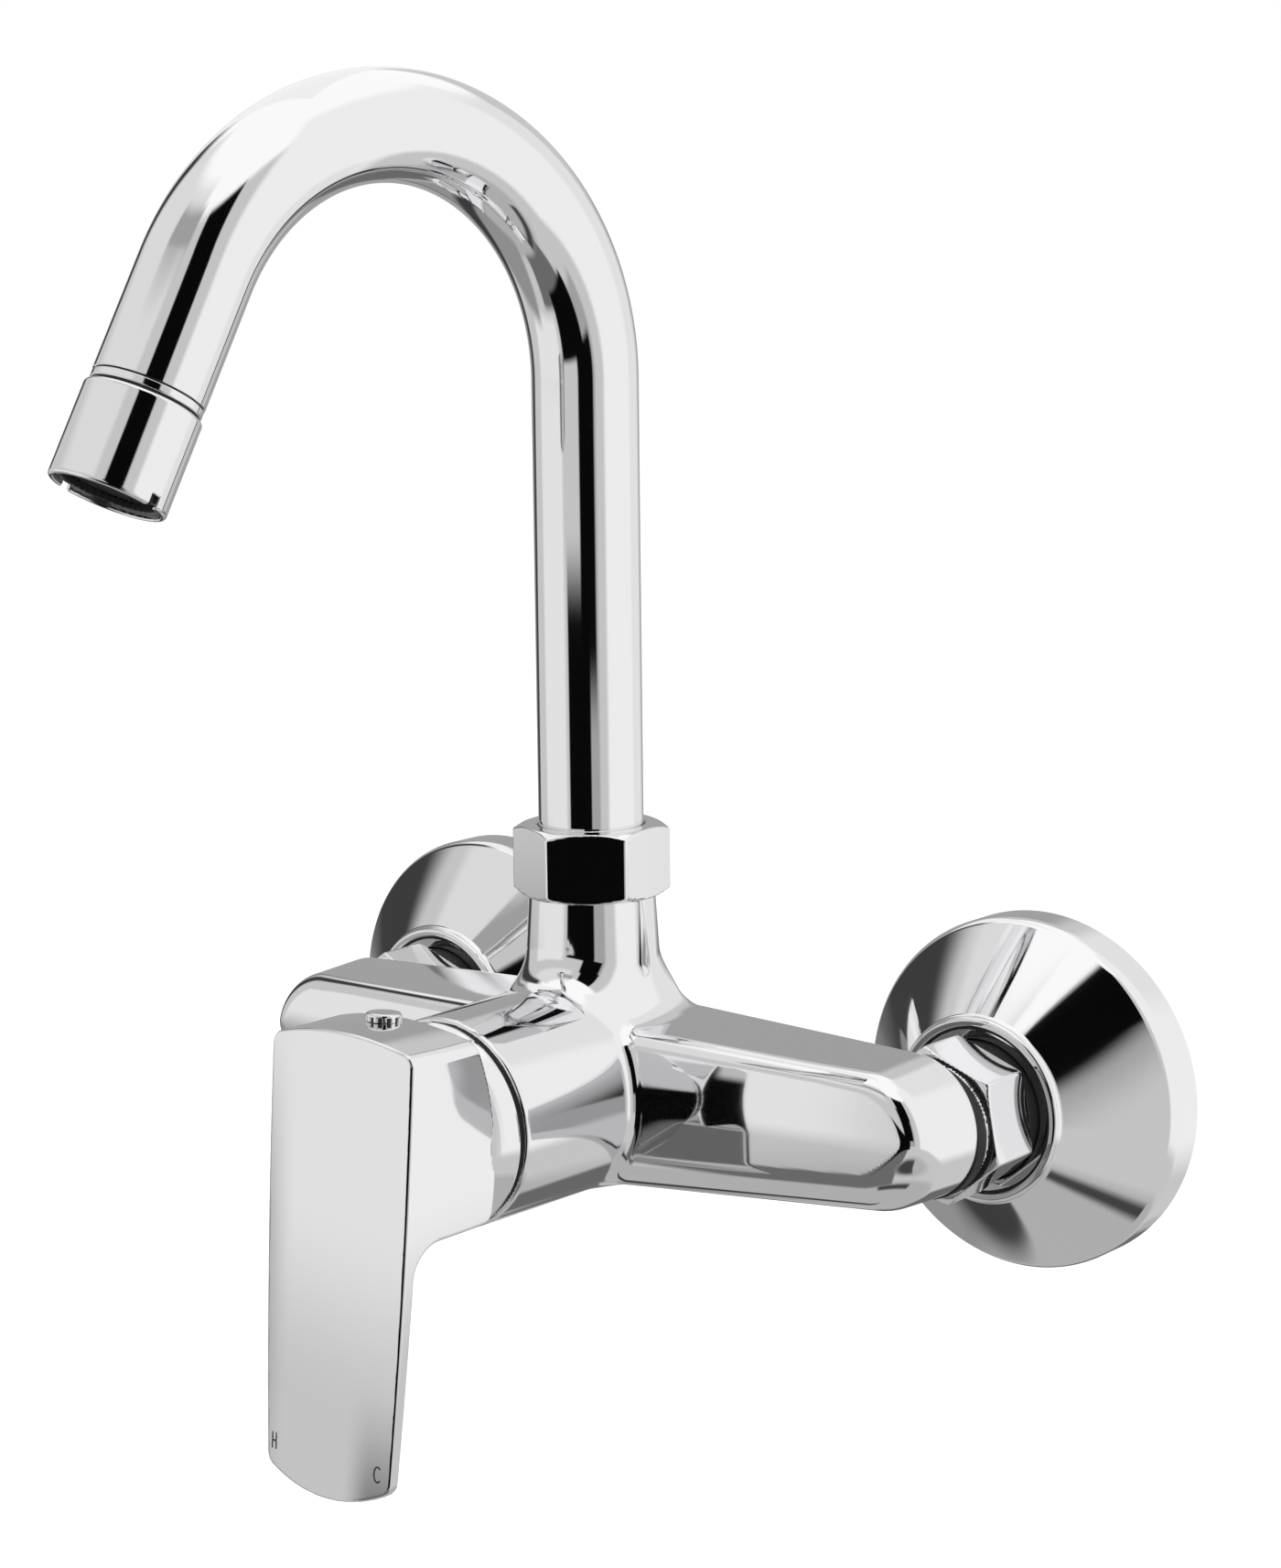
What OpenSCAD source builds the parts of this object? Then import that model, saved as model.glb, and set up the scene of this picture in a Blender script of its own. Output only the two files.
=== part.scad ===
// Wall-mounted single-lever sink mixer with a swivelling gooseneck spout.
// All sizes are in millimetres.
// The wall is the plane y = 0, the room is towards -Y, +X is to the right and +Z is up.
// The origin lies in the wall plane, midway between the hot and the cold water inlet.

/* [Inlets] */
// Distance between the hot and the cold inlet
inlet_pitch = 150; // [146:0.5:156]
// Outside radius of the pipe thread in the wall
wall_thread_r = 10.48; // [9.5:0.01:10.8]
// Length of the pipe thread in the wall
wall_thread_len = 14; // [10:0.5:18]
// Bore of the connecting legs and of the nipples
water_bore_r = 7.5; // [5:0.1:7.8]
// Distance from the wall to the end face of a connecting leg
leg_len = 36; // [33:0.5:38]
// Outside radius of the union thread
union_thread_r = 13.15; // [12.7:0.05:13.3]
// Length of the union thread on the connecting leg
union_thread_len = 17; // [15:0.5:17.5]
// Outside radius of the wrench collar on the connecting leg
leg_collar_r = 15.5; // [14:0.1:16]

/* [Wall flanges] */
// Outside radius of a wall flange
flange_r = 37.9; // [34:0.1:42]
// Depth of the straight rim of a wall flange
flange_rim = 8.6; // [6:0.1:11]
// Distance from the wall to the front lip of a wall flange
flange_depth = 26; // [25:0.1:27]
// Outside radius of the front lip of a wall flange
flange_lip_r = 19.8; // [19:0.1:21]
// Radius of the opening in the front of a wall flange
flange_hole_r = 15; // [14:0.1:16]
// Sheet thickness of a wall flange
flange_wall = 1.2; // [0.8:0.1:1.4]
// Width of the rubber grip ring in the lip
grip_ring_len = 4; // [3:0.5:5]

/* [Union nuts] */
// Width across the flats of a union nut
union_nut_af = 29; // [28.6:0.1:31]
// Distance from the wall to the back face of a union nut
union_nut_back = 28; // [27.5:0.1:29]
// Length of the hexagon of a union nut
union_nut_hex = 13.5; // [12.5:0.1:14]
// Turn of the hexagon of a union nut, in degrees
union_nut_turn = 40; // [0:1:60]
// Thickness of the union washer
union_washer_t = 1.5; // [1:0.1:2.5]
// Thickness of the collar on the inlet nipple
nipple_collar_t = 2.6; // [2:0.1:2.8]
// Length of the nipple thread in the body
nipple_thread_len = 11; // [8:0.5:12]

/* [Body] */
// Distance from the wall to the back of the body
body_back = 46.5; // [46:0.1:48]
// Distance from the wall to the front of an arm at its outer end
boss_front = 68.5; // [67:0.5:71]
// Distance from the wall to the front of an arm beside the barrel
arm_front = 74.5; // [74:0.5:77]
// Top of an arm beside the barrel, above the inlet axis
arm_top = 18.5; // [16.5:0.1:19]
// Bottom of an arm beside the barrel, below the inlet axis
arm_bottom = 17.3; // [16.5:0.1:19.5]
// Top of an arm at its outer end, above the inlet axis
arm_end_top = 16.2; // [14:0.1:17]
// Bottom of an arm at its outer end, below the inlet axis
arm_end_bottom = 13.6; // [13:0.1:14.4]
// Height of the barrel axis above the inlet axis
barrel_z = 3; // [2:0.1:4]
// Wall of the barrel round the cartridge nut's thread
barrel_wall = 2.9; // [2.5:0.1:3.6]
// Growth of the barrel's radius from its front edge to its back
barrel_taper = 0.8; // [0:0.1:1.5]
// Distance from the wall to the front edge of the barrel
barrel_front = 107; // [105.5:0.1:108]

/* [Spout] */
// Distance from the wall to the swivel axis of the spout
stem_y = 59.2; // [58:0.1:61]
// How far the neck stands out from the spout tube all round
neck_step = 2.3; // [2.2:0.1:3]
// Flare of the neck from the spout nut to the body
neck_flare = 0.9; // [0:0.1:2]
// Wall of the neck
neck_wall = 2.8; // [2.6:0.1:3.4]
// Least wall of the spout nut over the neck
spout_nut_wall = 1.1; // [0.9:0.1:2]
// Height of the underside of the spout nut
spout_nut_z = 43; // [41:0.1:45]
// Height of the spout nut itself
spout_nut_h = 15; // [14:0.1:17]
// Turn of the spout nut from straight ahead, in degrees
spout_nut_turn = 35; // [0:1:60]
// Outside radius of the spout tube
tube_r = 11.1; // [10.6:0.1:11.3]
// Wall of the spout tube
tube_wall = 1; // [0.8:0.1:1.4]
// Height at which the bend of the spout starts
bend_z = 151.2; // [110:1:200]
// Centre-line radius of the bend
bend_r = 51.2; // [35:0.1:70]
// Sweep of the bend, in degrees
bend_sweep = 152; // [120:1:175]
// Length of the straight end of the tube after the bend
tube_end_len = 24.1; // [15:0.1:60]
// Turn of the spout from straight ahead towards the left, in degrees
spout_turn = 9.2; // [0:0.1:45]
// Length of the brass tail in the neck
tail_len = 18.5; // [16:0.5:20]
// Cord diameter of the neck seals
neck_seal_d = 2; // [1.6:0.1:2.2]

/* [Aerator] */
// How far the aerator housing stands out from the spout tube all round
aerator_step = 0.55; // [0.3:0.05:1.5]
// Length of the aerator housing
aerator_len = 19.5; // [17:0.1:24]
// Gap between the end ring of the tube and the housing
aerator_gap = 0.5; // [0.4:0.1:2]
// Width of the end ring that shows above the housing
end_ring_w = 2; // [0.8:0.1:2.4]
// Wall of the aerator housing
aerator_wall = 1.25; // [1.1:0.05:1.8]
// Depth of the aerator insert inside the lower rim
insert_recess = 2.6; // [1.5:0.1:4]
// Width of a key notch in the lower rim
notch_w = 2.2; // [1.5:0.1:3]
// Depth of a key notch in the lower rim
notch_depth = 2.4; // [1.5:0.1:3]
// Turn of the key notches about the housing, in degrees
notch_turn = 76; // [0:1:180]

/* [Cartridge] */
// Radius of the cartridge
cartridge_r = 17.5; // [17:0.1:17.8]
// Distance from the wall to the seat of the cartridge
seat_y = 76; // [75:0.1:77]
// Distance from the seat to the shoulder of the cartridge
cartridge_shoulder = 21; // [20.5:0.1:21.5]
// How far the neck of the cartridge is smaller than the cartridge all round
cartridge_neck_step = 4; // [3.5:0.1:4.5]
// Thickness of a ceramic disc
disc_t = 3; // [2.5:0.1:3.2]
// Distance from the wall to the pivot of the lever stem
pivot_y = 103; // [102:0.1:103.5]
// Distance from the pivot to the ball of the lever stem
ball_arm = 11.5; // [11:0.1:12]
// Side of the square of the lever stem
stem_square = 7.6; // [7:0.1:8]
// Lift of the lever from closed to fully open, in degrees
lift_angle = 25; // [20:1:28]
// Wall of the dome ring
dome_wall = 1.4; // [1:0.1:1.6]

/* [Lever] */
// Distance from the wall to the lever's front edge at the height of the barrel axis
lever_front = 138.4; // [137:0.1:142]
// Forward lean of the lever's front, in degrees
lever_lean = 4.7; // [2:0.1:7]
// Half width of the lever at its top
lever_half_w = 19.5; // [18.5:0.1:20]
// Narrowing of the lever on each side, down to its lower corners
lever_narrowing = 2.1; // [0:0.1:5]
// Height of the upper corners of the lever
lever_top = 24.8; // [23.8:0.1:26]
// Rise of the arched top edge above its corners
lever_top_rise = 3.4; // [1:0.1:4]
// Depth of the lower corners below the inlet axis
lever_tip = 60.7; // [50:0.1:80]
// Drop of the arched lower edge below its corners
lever_tip_drop = 4.6; // [1:0.1:7]
// Bulge of the front face across its width
lever_bulge = 1.3; // [0.5:0.1:2]
// Thickness of the lever blade at its root
blade_root_t = 2.7; // [2.4:0.1:4]
// Thickness of the lever blade at its tip
blade_tip_t = 2; // [1.5:0.1:3]
// Distance from the wall to the back edge of the lever hub
hub_back = 115; // [114.8:0.1:116]
// Depth of the underside of the lever hub below the inlet axis
hub_under = 12.2; // [11:0.1:14]
// Wall of the lever hub
hub_wall = 2.2; // [1.6:0.1:3]
// Radius of the blend between the hub and the blade
hub_blend_r = 6; // [3:0.5:9]
// Radius of the plug over the lever screw
plug_r = 3.5; // [2.8:0.1:3.8]
// Height of the plug above the lever
plug_h = 2.7; // [1.5:0.1:3]
// Distance from the wall to the plug
plug_y = 124.4; // [124:0.1:126]
// Radius of the lever screw
screw_r = 2; // [1.6:0.1:2.2]

/* [Hidden] */

$fn = 72;
BOW_FN = 240;       // facets of the long shallow bows of the lever

// Finishes
CHROME = "gainsboro";
BRASS = "goldenrod";
RUBBER = "dimgray";
PLASTIC = "whitesmoke";
CERAMIC = "oldlace";
STEEL = "silver";
BLACK = "darkslategray";

// Play between parts
THREAD_GAP = 0.04;  // screwed parts
FIT_GAP = 0.05;     // parts that turn or slide in each other
FACE_GAP = 0.05;    // faces pressed together
MOVE_GAP = 0.3;     // free space round a moving part
EPS = 0.01;         // overshoot of a cut
SIDES = [-1, 1];    // left is hot, right is cold

inlet_x = inlet_pitch / 2;

// Union joint, measured from the wall
nut_shoulder_len = 2;
strainer_t = 0.5;
strainer_face = leg_len + FACE_GAP;
washer_face = strainer_face + strainer_t + FACE_GAP;
collar_face = washer_face + union_washer_t + FACE_GAP;
nut_lip_face = collar_face + nipple_collar_t + FACE_GAP;
union_nut_front = union_nut_back + union_nut_hex;
union_nut_end = max(union_nut_front + nut_shoulder_len, nut_lip_face + 1.5);
nipple_tube_r = wall_thread_r + 0.5;
nipple_collar_r = union_thread_r - 0.3;
leg_neck_r = union_thread_r - 1;
strainer_cup_r = water_bore_r - 0.6;
strainer_cup_len = 9;
strainer_wire = 0.4;

// Flange
flange_grip_r = flange_lip_r - 1.8 * flange_wall;
flange_lip_len = 1.4;
grip_ring_front = flange_depth - flange_lip_len - 0.8;

// Cartridge stack, measured from the wall
cartridge_neck_r = cartridge_r - cartridge_neck_step;
base_t = 5;
base_rim_t = 3;
disc_face = seat_y + base_t;
slide_face = disc_face + disc_t;
carrier_face = slide_face + FACE_GAP + disc_t;
carrier_front = pivot_y - ball_arm + 0.8;
rotor_back = carrier_front + MOVE_GAP;
shoulder_y = seat_y + cartridge_shoulder;
housing_top_t = 2;
housing_inner_r = cartridge_r - 1.9;
housing_neck_front = pivot_y + 3;
rotor_front = pivot_y + 4;
housing_neck_wall = 1.5;
rotor_r = cartridge_neck_r - housing_neck_wall;
stem_pin_r = 1.5;
disc_travel = ball_arm * sin(lift_angle);
moving_disc_r = 11;
ball_r = 2.9;
chamber_r = cartridge_r + 0.25;
nut_thread_r = chamber_r + 1.25;
cartridge_nut_t = 6.5;
skirt_wall = 1.3;
nut_hex_af = 2 * (nut_thread_r - skirt_wall - 0.5) * cos(30);
cartridge_nut_front = shoulder_y + cartridge_nut_t + FACE_GAP;
port_x = 8.5;
port_drop = 4.5;
port_rise = 8;
port_r = 3.6;
base_seal_d = 1.8;

// Barrel
barrel_r = nut_thread_r + barrel_wall;
barrel_back_r = barrel_r + barrel_taper;

// Dome ring, a sphere about the pivot
dome_edge = 0.6;
dome_r = barrel_r + 0.2;
dome_rim_y = pivot_y + sqrt(pow(dome_r, 2) - pow(barrel_r - dome_edge, 2));
dome_rim_t = 0.6;
dome_open_half_angle = lift_angle + 20.6;
dome_open_r = dome_r * sin(dome_open_half_angle);

// Neck and swivel of the spout
neck_r = tube_r + neck_step;
neck_foot_r = neck_r + neck_flare;
neck_bore_r = neck_r - neck_wall;
spout_nut_af = 2 * (neck_r + spout_nut_wall);
spout_nut_top = spout_nut_z + spout_nut_h;
nut_lip_t = 1.2;
slip_ring_t = 0.7;
tail_collar_t = 1.4;
slip_ring_z = spout_nut_top - nut_lip_t - FACE_GAP - slip_ring_t;
tail_collar_z = slip_ring_z - FACE_GAP - tail_collar_t;
neck_top = tail_collar_z - FACE_GAP;
neck_thread_r = neck_r - 0.2;
nut_hole_r = tube_r + 0.3;
tail_r = neck_bore_r - FIT_GAP;
tail_bore_r = water_bore_r;
tail_collar_r = tube_r + 1;
tail_spigot_len = 9;
tail_foot = tail_collar_z - tail_len;
neck_seal_gap = 0.03;
neck_seal_core = neck_bore_r - neck_seal_gap - neck_seal_d - 0.02;
neck_seal_z = [tail_foot + 4.5, tail_foot + 11];

// Water ways in the body
way_r = 5;
way_z = -4.5;
way_y = stem_y + 0.8;
outlet_floor = 5.5;
outlet_r = 8;
foot_z = arm_top + 2.4;

// Aerator, measured along the straight end of the spout
aerator_r = tube_r + aerator_step;
aerator_thread_r = aerator_r - aerator_wall;
ring_spigot_len = 6;
aerator_thread_len = 7;
housing_start = tube_end_len + end_ring_w + aerator_gap;
housing_end = housing_start + aerator_len;
aerator_lip_r = aerator_r - 2;
insert_end = housing_end - insert_recess;
thread_end = housing_start + aerator_thread_len;
washer_t = 2;
washer_end = thread_end + FACE_GAP + washer_t;
insert_rim_t = 1.4;
insert_top = washer_end + FACE_GAP;
ledge = insert_top + insert_rim_t + FACE_GAP;
sleeve_r = aerator_lip_r - FIT_GAP;
sleeve_wall = 1.1;

// Lever
pivot = [0, -pivot_y, barrel_z];
lever_tip_half_w = lever_half_w - lever_narrowing;
lean_slope = tan(lever_lean);
plug_z = lever_top + lever_top_rise - 0.2;
screw_len = 8;
screw_hole_len = plug_z - barrel_z;
screw_boss_wall = 1.8;
dome_clear_r = dome_r + 0.45;
stem_boss_r = 6;
stem_boss_back = plug_y - 1.5;
front_t = 4;
stem_end = lever_front - front_t - 2.5;
socket_half = stem_square / 2 + FIT_GAP;
hub_bow_r = 84;

function arc(r, from, to, steps, centre = [0, 0]) =
    [for (i = [0 : steps]) let (a = from + (to - from) * i / steps) centre + r * [cos(a), sin(a)]];

// Radius of the circle through the ends of a chord of half length c with a rise of s
function bow_r(c, s) = (c * c + s * s) / (2 * s);

// Places children on an inlet axis, with +Z as the distance from the wall
module on_inlet(side) {
    translate([side * inlet_x, 0, 0])
        rotate([90, 0, 0])
            children();
}

// Places children on the barrel axis, with +Z as the distance from the wall and +Y upwards
module on_barrel() {
    translate([0, 0, barrel_z])
        rotate([90, 0, 0])
            children();
}

// Places children on the swivel axis of the spout
module on_stem() {
    translate([0, -stem_y, 0])
        children();
}

// Places children in the plane of the spout, with the spout towards -Y
module in_spout_plane() {
    on_stem()
        rotate([0, 0, -spout_turn])
            children();
}

// Places children at the end of the bend, with +Z along the flow
module at_bend_end() {
    in_spout_plane()
        translate([0, -bend_r, bend_z])
            rotate([90, 0, 90])
                rotate([0, 0, bend_sweep])
                    translate([bend_r, 0, 0])
                        rotate([-90, 0, 0])
                            children();
}

// A plain ring or tube from z = from to z = to
module tube(outer, inner, from, to) {
    translate([0, 0, from])
        difference() {
            cylinder(r = outer, h = to - from);
            translate([0, 0, -EPS])
                cylinder(r = inner, h = to - from + 2 * EPS);
        }
}

// A round seal of round section that lies in the plane z = 0
module seal_ring(centre_r, section_d) {
    rotate_extrude()
        translate([centre_r, 0])
            circle(d = section_d, $fn = 24);
}

// A hexagon from z = from to z = to with its corners turned off at both ends
module hexagon(across_flats, from, to, turn) {
    bevel = 1;
    corner = across_flats / 2 / cos(30);
    face_r = across_flats / 2 - 0.15;
    clear_r = corner + 1;
    clear_bevel = bevel * (clear_r - face_r) / (corner - face_r);
    rotate([0, 0, turn])
        intersection() {
            translate([0, 0, from])
                cylinder(r = corner, h = to - from, $fn = 6);
            rotate([0, 0, 30])
                rotate_extrude()
                    polygon([
                        [0, from], [face_r, from], [clear_r, from + clear_bevel],
                        [clear_r, to - clear_bevel], [face_r, to], [0, to]
                    ]);
        }
}

// ---------- Body ----------

module barrel_shell() {
    round_back = 3;
    round_front = 0.8;
    on_barrel()
        rotate_extrude()
            polygon(concat(
                [[0, body_back]],
                arc(round_back, -90, 0, 5, [barrel_back_r - round_back, body_back + round_back]),
                arc(round_front, 0, 90, 4, [barrel_r - round_front, barrel_front - round_front]),
                [[0, barrel_front]]
            ));
}

module neck_shell() {
    fillet_r = 6;
    rise = 4;
    shoulder = 0.8;
    back_trim = 1;
    flare_r = neck_foot_r + fillet_r;
    on_stem()
        difference() {
            rotate_extrude()
                polygon(concat(
                    [[0, foot_z - fillet_r], [flare_r, foot_z - fillet_r]],
                    arc(fillet_r, 270, 180, 6, [flare_r, foot_z + rise]),
                    [[neck_r, spout_nut_z - shoulder], [neck_thread_r, spout_nut_z - shoulder / 4],
                     [neck_thread_r, neck_top], [0, neck_top]]
                ));
            // The flare stops at the back of the body
            translate([-flare_r, stem_y - body_back + back_trim, 0])
                cube([2 * flare_r, flare_r, neck_top]);
        }
}

// Front view of an arm, drawn in from its outline by inset
module arm_outline(side, inset) {
    root_x = 4;
    end_r = (arm_end_top + arm_end_bottom) / 2 - inset;
    end_z = (arm_end_top - arm_end_bottom) / 2;
    mirror([side < 0 ? 1 : 0, 0])
        polygon(concat(
            [[root_x, arm_top - inset], [root_x, inset - arm_bottom]],
            arc(end_r, -90, 90, 16, [inlet_x, end_z])
        ));
}

module arm(side) {
    slab = 0.5;
    edge_top = 2.2;
    edge_bottom = 6.5;
    root_x = barrel_r - 6;
    root_w = 9;
    rotate([90, 0, 0])
        hull() {
            translate([0, 0, body_back])
                linear_extrude(boss_front - body_back - 9)
                    arm_outline(side, 0);
            translate([0, 0, boss_front - 3])
                linear_extrude(slab)
                    arm_outline(side, 1.5);
            translate([0, -1.2, boss_front + 1])
                linear_extrude(slab)
                    arm_outline(side, 4.8);
            translate([side > 0 ? root_x : -root_x - root_w, edge_bottom - arm_bottom, arm_front - slab])
                cube([root_w, arm_top + arm_bottom - edge_bottom - edge_top, slab]);
        }
}

module water_ways() {
    for (side = SIDES) {
        on_inlet(side) {
            translate([0, 0, body_back - EPS])
                cylinder(r = wall_thread_r, h = nipple_thread_len + 1);
            translate([0, 0, body_back])
                cylinder(r = water_bore_r, h = way_y + way_r + 1.5 - body_back);
        }
        translate([side * 4, -way_y, way_z])
            rotate([0, side * 90, 0])
                cylinder(r = way_r, h = inlet_x - 4);
        on_barrel()
            translate([side * port_x, -port_drop, way_y])
                cylinder(r = port_r, h = seat_y - way_y + EPS);
    }
    on_barrel()
        translate([0, port_rise, stem_y])
            cylinder(r = port_r + 0.6, h = seat_y - stem_y + EPS);
    on_stem() {
        translate([0, 0, outlet_floor])
            cylinder(r = outlet_r, h = neck_top - outlet_floor);
        translate([0, 0, tail_foot - 2])
            cylinder(r = neck_bore_r, h = neck_top - tail_foot + 2 + EPS);
    }
}

module cartridge_chamber() {
    on_barrel() {
        translate([0, 0, seat_y])
            cylinder(r = chamber_r, h = barrel_front - seat_y + EPS);
        translate([0, 0, shoulder_y - 1])
            cylinder(r = nut_thread_r, h = barrel_front - shoulder_y + 1 + EPS);
    }
}

module mixer_body() {
    color(CHROME)
        difference() {
            union() {
                barrel_shell();
                neck_shell();
                for (side = SIDES)
                    arm(side);
            }
            water_ways();
            cartridge_chamber();
            locating_pegs(THREAD_GAP);
        }
}

// ---------- Inlets ----------

module leg(side) {
    chamfer = 1;
    face = 0.5;
    collar_back = 5.5;
    collar_front = 12;
    thread_back = leg_len - union_thread_len;
    color(BRASS)
        on_inlet(side)
            difference() {
                rotate_extrude()
                    polygon([
                        [0, -wall_thread_len], [wall_thread_r - chamfer, -wall_thread_len],
                        [wall_thread_r, chamfer - wall_thread_len], [wall_thread_r, face],
                        [leg_neck_r, face], [leg_neck_r, collar_back - face],
                        [leg_collar_r, collar_back], [leg_collar_r, collar_front],
                        [leg_neck_r, collar_front + face], [leg_neck_r, thread_back - chamfer],
                        [union_thread_r, thread_back], [union_thread_r, leg_len - chamfer],
                        [union_thread_r - chamfer, leg_len], [0, leg_len]
                    ]);
                translate([0, 0, -wall_thread_len - EPS])
                    cylinder(r = water_bore_r, h = leg_len + wall_thread_len + 2 * EPS);
            }
}

// Thin dish with a straight rim, a conical front and a rolled lip that turns back inwards
module wall_flange(side) {
    t = flange_wall;
    roll = (flange_lip_r - flange_grip_r) / 2;
    rim_round = 0.9;
    lip_back = flange_depth - flange_lip_len;
    skirt_back = grip_ring_front - grip_ring_len - 0.2;
    web_t = 0.7;
    web_front = flange_depth - roll - 0.1;
    color(CHROME)
        on_inlet(side)
            rotate_extrude()
                polygon(concat(
                    [[flange_r - t, 0], [flange_r, 0]],
                    arc(rim_round, 0, 45, 3, [flange_r - rim_round, flange_rim - rim_round]),
                    [[flange_lip_r, lip_back]],
                    arc(roll, 20, 160, 6, [flange_lip_r - roll, flange_depth - roll]),
                    [[flange_grip_r, web_front], [flange_hole_r, web_front],
                     [flange_hole_r, web_front - web_t], [flange_grip_r, web_front - web_t]],
                    [[flange_grip_r, skirt_back], [flange_grip_r + t, skirt_back],
                     [flange_grip_r + t, lip_back - t], [flange_r - t, flange_rim - 0.6 * t]]
                ));
}

module flange_grip_ring(side) {
    color(RUBBER)
        on_inlet(side)
            tube(
                flange_grip_r - THREAD_GAP, union_thread_r + THREAD_GAP,
                grip_ring_front - grip_ring_len, grip_ring_front
            );
}

module union_nut(side) {
    shoulder_r = union_nut_af / 2 - 0.4;
    shoulder_round = 1;
    color(CHROME)
        on_inlet(side)
            difference() {
                union() {
                    hexagon(union_nut_af, union_nut_back, union_nut_front, union_nut_turn);
                    rotate_extrude()
                        polygon(concat(
                            [[0, union_nut_back + 1], [shoulder_r, union_nut_back + 1]],
                            arc(shoulder_round, 0, 90, 4,
                                [shoulder_r - shoulder_round, union_nut_end - shoulder_round]),
                            [[0, union_nut_end]]
                        ));
                }
                translate([0, 0, union_nut_back - EPS])
                    cylinder(r = union_thread_r + THREAD_GAP, h = nut_lip_face - union_nut_back + EPS);
                translate([0, 0, union_nut_back])
                    cylinder(r = nipple_tube_r + 0.15, h = union_nut_end - union_nut_back + EPS);
            }
}

module union_washer(side) {
    color(RUBBER)
        on_inlet(side)
            tube(nipple_collar_r, water_bore_r + 0.4, washer_face, washer_face + union_washer_t);
}

// Thimble of woven wire whose rim is clamped between the leg and the washer
module strainer(side) {
    cup_inner_r = strainer_cup_r - strainer_wire;
    color(STEEL)
        on_inlet(side) {
            tube(water_bore_r + 2, cup_inner_r, strainer_face, strainer_face + strainer_t);
            tube(strainer_cup_r, cup_inner_r, strainer_face - strainer_cup_len, strainer_face);
            translate([0, 0, strainer_face - strainer_cup_len - strainer_wire])
                cylinder(r = strainer_cup_r, h = strainer_wire);
        }
}

module inlet_nipple(side) {
    color(BRASS)
        on_inlet(side)
            difference() {
                rotate_extrude()
                    polygon([
                        [0, collar_face], [nipple_collar_r, collar_face],
                        [nipple_collar_r, collar_face + nipple_collar_t],
                        [nipple_tube_r, collar_face + nipple_collar_t], [nipple_tube_r, body_back],
                        [wall_thread_r - THREAD_GAP, body_back],
                        [wall_thread_r - THREAD_GAP, body_back + nipple_thread_len - 1],
                        [wall_thread_r - 1, body_back + nipple_thread_len],
                        [0, body_back + nipple_thread_len]
                    ]);
                translate([0, 0, collar_face - EPS])
                    cylinder(r = water_bore_r, h = body_back + nipple_thread_len - collar_face + 2 * EPS);
            }
}

// ---------- Cartridge ----------

// Places children at the three ports of the cartridge: cold, hot and mixed
module at_ports() {
    for (side = SIDES)
        translate([side * port_x, -port_drop, 0])
            children();
    translate([0, port_rise, 0])
        children();
}

// Two pegs under the cartridge that lock it in the body, larger by grow
module locating_pegs(grow) {
    peg_r = 1.4;
    peg_len = 2;
    on_barrel()
        for (side = SIDES)
            translate([side * 10.5, 8.5, seat_y - peg_len - grow])
                cylinder(r = peg_r + grow, h = peg_len + grow + EPS);
}

module cartridge_base() {
    color(PLASTIC) {
        on_barrel()
            difference() {
                union() {
                    translate([0, 0, seat_y + FACE_GAP])
                        cylinder(r = cartridge_r, h = base_rim_t - FACE_GAP);
                    translate([0, 0, seat_y + base_rim_t - EPS])
                        cylinder(r = housing_inner_r - FIT_GAP, h = base_t - base_rim_t - FACE_GAP + EPS);
                }
                translate([0, 0, seat_y])
                    at_ports()
                        cylinder(r = port_r - 0.8, h = base_t + EPS);
                translate([0, 0, seat_y])
                    at_ports()
                        cylinder(r = port_r + base_seal_d - 0.3, h = base_seal_d + EPS);
            }
        translate([0, -FACE_GAP, 0])
            locating_pegs(0);
    }
}

module base_seals() {
    color(RUBBER)
        on_barrel()
            translate([0, 0, seat_y + base_seal_d / 2 + EPS])
                at_ports()
                    seal_ring(port_r + base_seal_d / 2 - 0.5, base_seal_d - 2 * EPS);
}

module fixed_disc() {
    color(CERAMIC)
        on_barrel()
            difference() {
                translate([0, 0, disc_face])
                    cylinder(r = housing_inner_r - 1.2, h = disc_t);
                translate([0, 0, disc_face - EPS])
                    at_ports()
                        cylinder(r = port_r - 0.8, h = disc_t + 2 * EPS);
            }
}

// The moving disc mixes and meters the water through the blind pocket in its back
module moving_disc() {
    pocket_depth = disc_t - 1;
    color(CERAMIC)
        on_barrel()
            translate([0, disc_travel / 2, slide_face + FACE_GAP])
                difference() {
                    cylinder(r = moving_disc_r, h = disc_t);
                    translate([0, -EPS, -EPS])
                        cylinder(r = moving_disc_r - 4, h = pocket_depth);
                }
}

module disc_carrier() {
    floor_t = 0.9;
    color(BLACK)
        on_barrel()
            difference() {
                translate([0, disc_travel / 2, carrier_face])
                    cylinder(r = moving_disc_r - 0.2, h = carrier_front - carrier_face);
                translate([0, 0, carrier_face + floor_t])
                    cylinder(r = ball_r + 0.25, h = carrier_front - carrier_face);
            }
}

module cartridge_housing() {
    color(PLASTIC)
        on_barrel()
            difference() {
                union() {
                    translate([0, 0, seat_y + base_rim_t + FACE_GAP])
                        cylinder(r = cartridge_r, h = cartridge_shoulder - base_rim_t - FACE_GAP);
                    translate([0, 0, shoulder_y - EPS])
                        cylinder(r = cartridge_neck_r, h = housing_neck_front - shoulder_y + EPS);
                }
                translate([0, 0, seat_y])
                    cylinder(r = housing_inner_r, h = cartridge_shoulder - housing_top_t);
                translate([0, 0, seat_y])
                    cylinder(r = rotor_r + FIT_GAP, h = housing_neck_front - seat_y + EPS);
            }
}

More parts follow.
